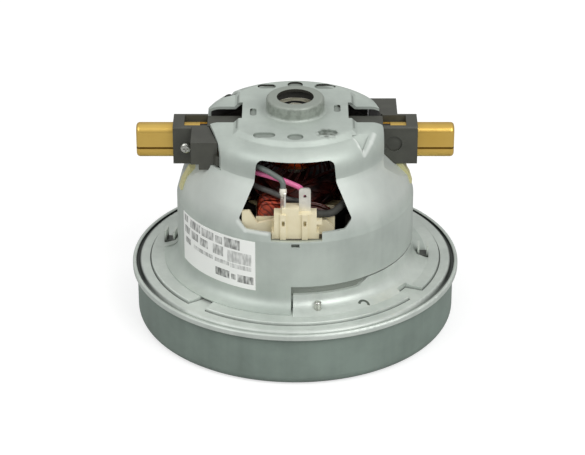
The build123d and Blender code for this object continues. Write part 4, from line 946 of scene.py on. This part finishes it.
# Floor and light: pale paper that looks white from the camera and keeps the object's shadow, in a
# pale room with two softboxes.
white = (1.0, 1.0, 1.0, 1.0)
grey = (0.5, 0.5, 0.5, 1.0)
floor_size = 4.0
floor_glow = 0.62
form = bmesh.new()
bmesh.ops.create_grid(form, x_segments=1, y_segments=1, size=floor_size)
floor_mesh = shaped_mesh(form, "floor")
floor = bpy.data.objects.new("floor", floor_mesh)
bpy.context.scene.collection.objects.link(floor)
floor_paper, tree, shader = new_finish(
    "floor_paper", Base_Color=grey, Roughness=0.9, Specular_IOR_Level=0.0, Emission_Color=white
)
to_camera = put(tree, "LightPath").outputs["Is Camera Ray"]
connect(tree, shader, Emission_Strength=reckon(tree, "MULTIPLY", to_camera, floor_glow))
floor_mesh.materials.append(floor_paper)

room_levels = (0.255, 0.68)
room_top = 0.9
world = bpy.data.worlds.new("studio")
bpy.context.scene.world = world
world.use_nodes = True
tree = world.node_tree
room = tree.nodes["Background"]
room.inputs["Color"].default_value = white
upwards = put(tree, "SeparateXYZ", {0: put(tree, "TexCoord").outputs["Generated"]}).outputs["Z"]
room_level = ramp(tree, upwards, 0.0, room_top, *room_levels)
to_camera = put(tree, "LightPath").outputs["Is Camera Ray"]
tree.links.new(between(tree, to_camera, room_level, 1.0), room.inputs["Strength"])

lamp_aim = Vector((0, 0, 0.05))
lamp_size = 0.8


def soft_lamp(name, place, power):
    """Square softbox that points at the object."""
    light = bpy.data.lights.new(name, "AREA")
    light.shape = "SQUARE"
    light.size = lamp_size
    light.energy = power
    lamp = bpy.data.objects.new(name, light)
    lamp.location = place
    lamp.rotation_euler = (lamp_aim - Vector(place)).to_track_quat("-Z", "Y").to_euler()
    bpy.context.scene.collection.objects.link(lamp)


soft_lamp("key_softbox", (0.6, -0.76, 0.9), power=8.2)
soft_lamp("left_softbox", (-0.78, -0.55, 0.95), power=4.7)

# Camera: it looks down at the object from in front, at the photograph's angle and with its
# perspective.
photo_width = 585
focal_pixels = 2313
film_width = 36.0
lens_tilt = math.radians(27.6)
lens_distance = 1.0
lens_aim_z = 0.0382
lens_side = -0.00116
camera_data = bpy.data.cameras.new("camera")
camera_data.sensor_width = film_width
camera_data.lens = focal_pixels / photo_width * film_width
camera_data.clip_start = 0.01
camera = bpy.data.objects.new("camera", camera_data)
camera.location = (
    lens_side,
    -lens_distance * math.cos(lens_tilt),
    lens_aim_z + lens_distance * math.sin(lens_tilt),
)
camera.rotation_euler = (math.pi / 2 - lens_tilt, 0, 0)
bpy.context.scene.collection.objects.link(camera)
bpy.context.scene.camera = camera
bpy.context.scene.view_settings.view_transform = "Standard"
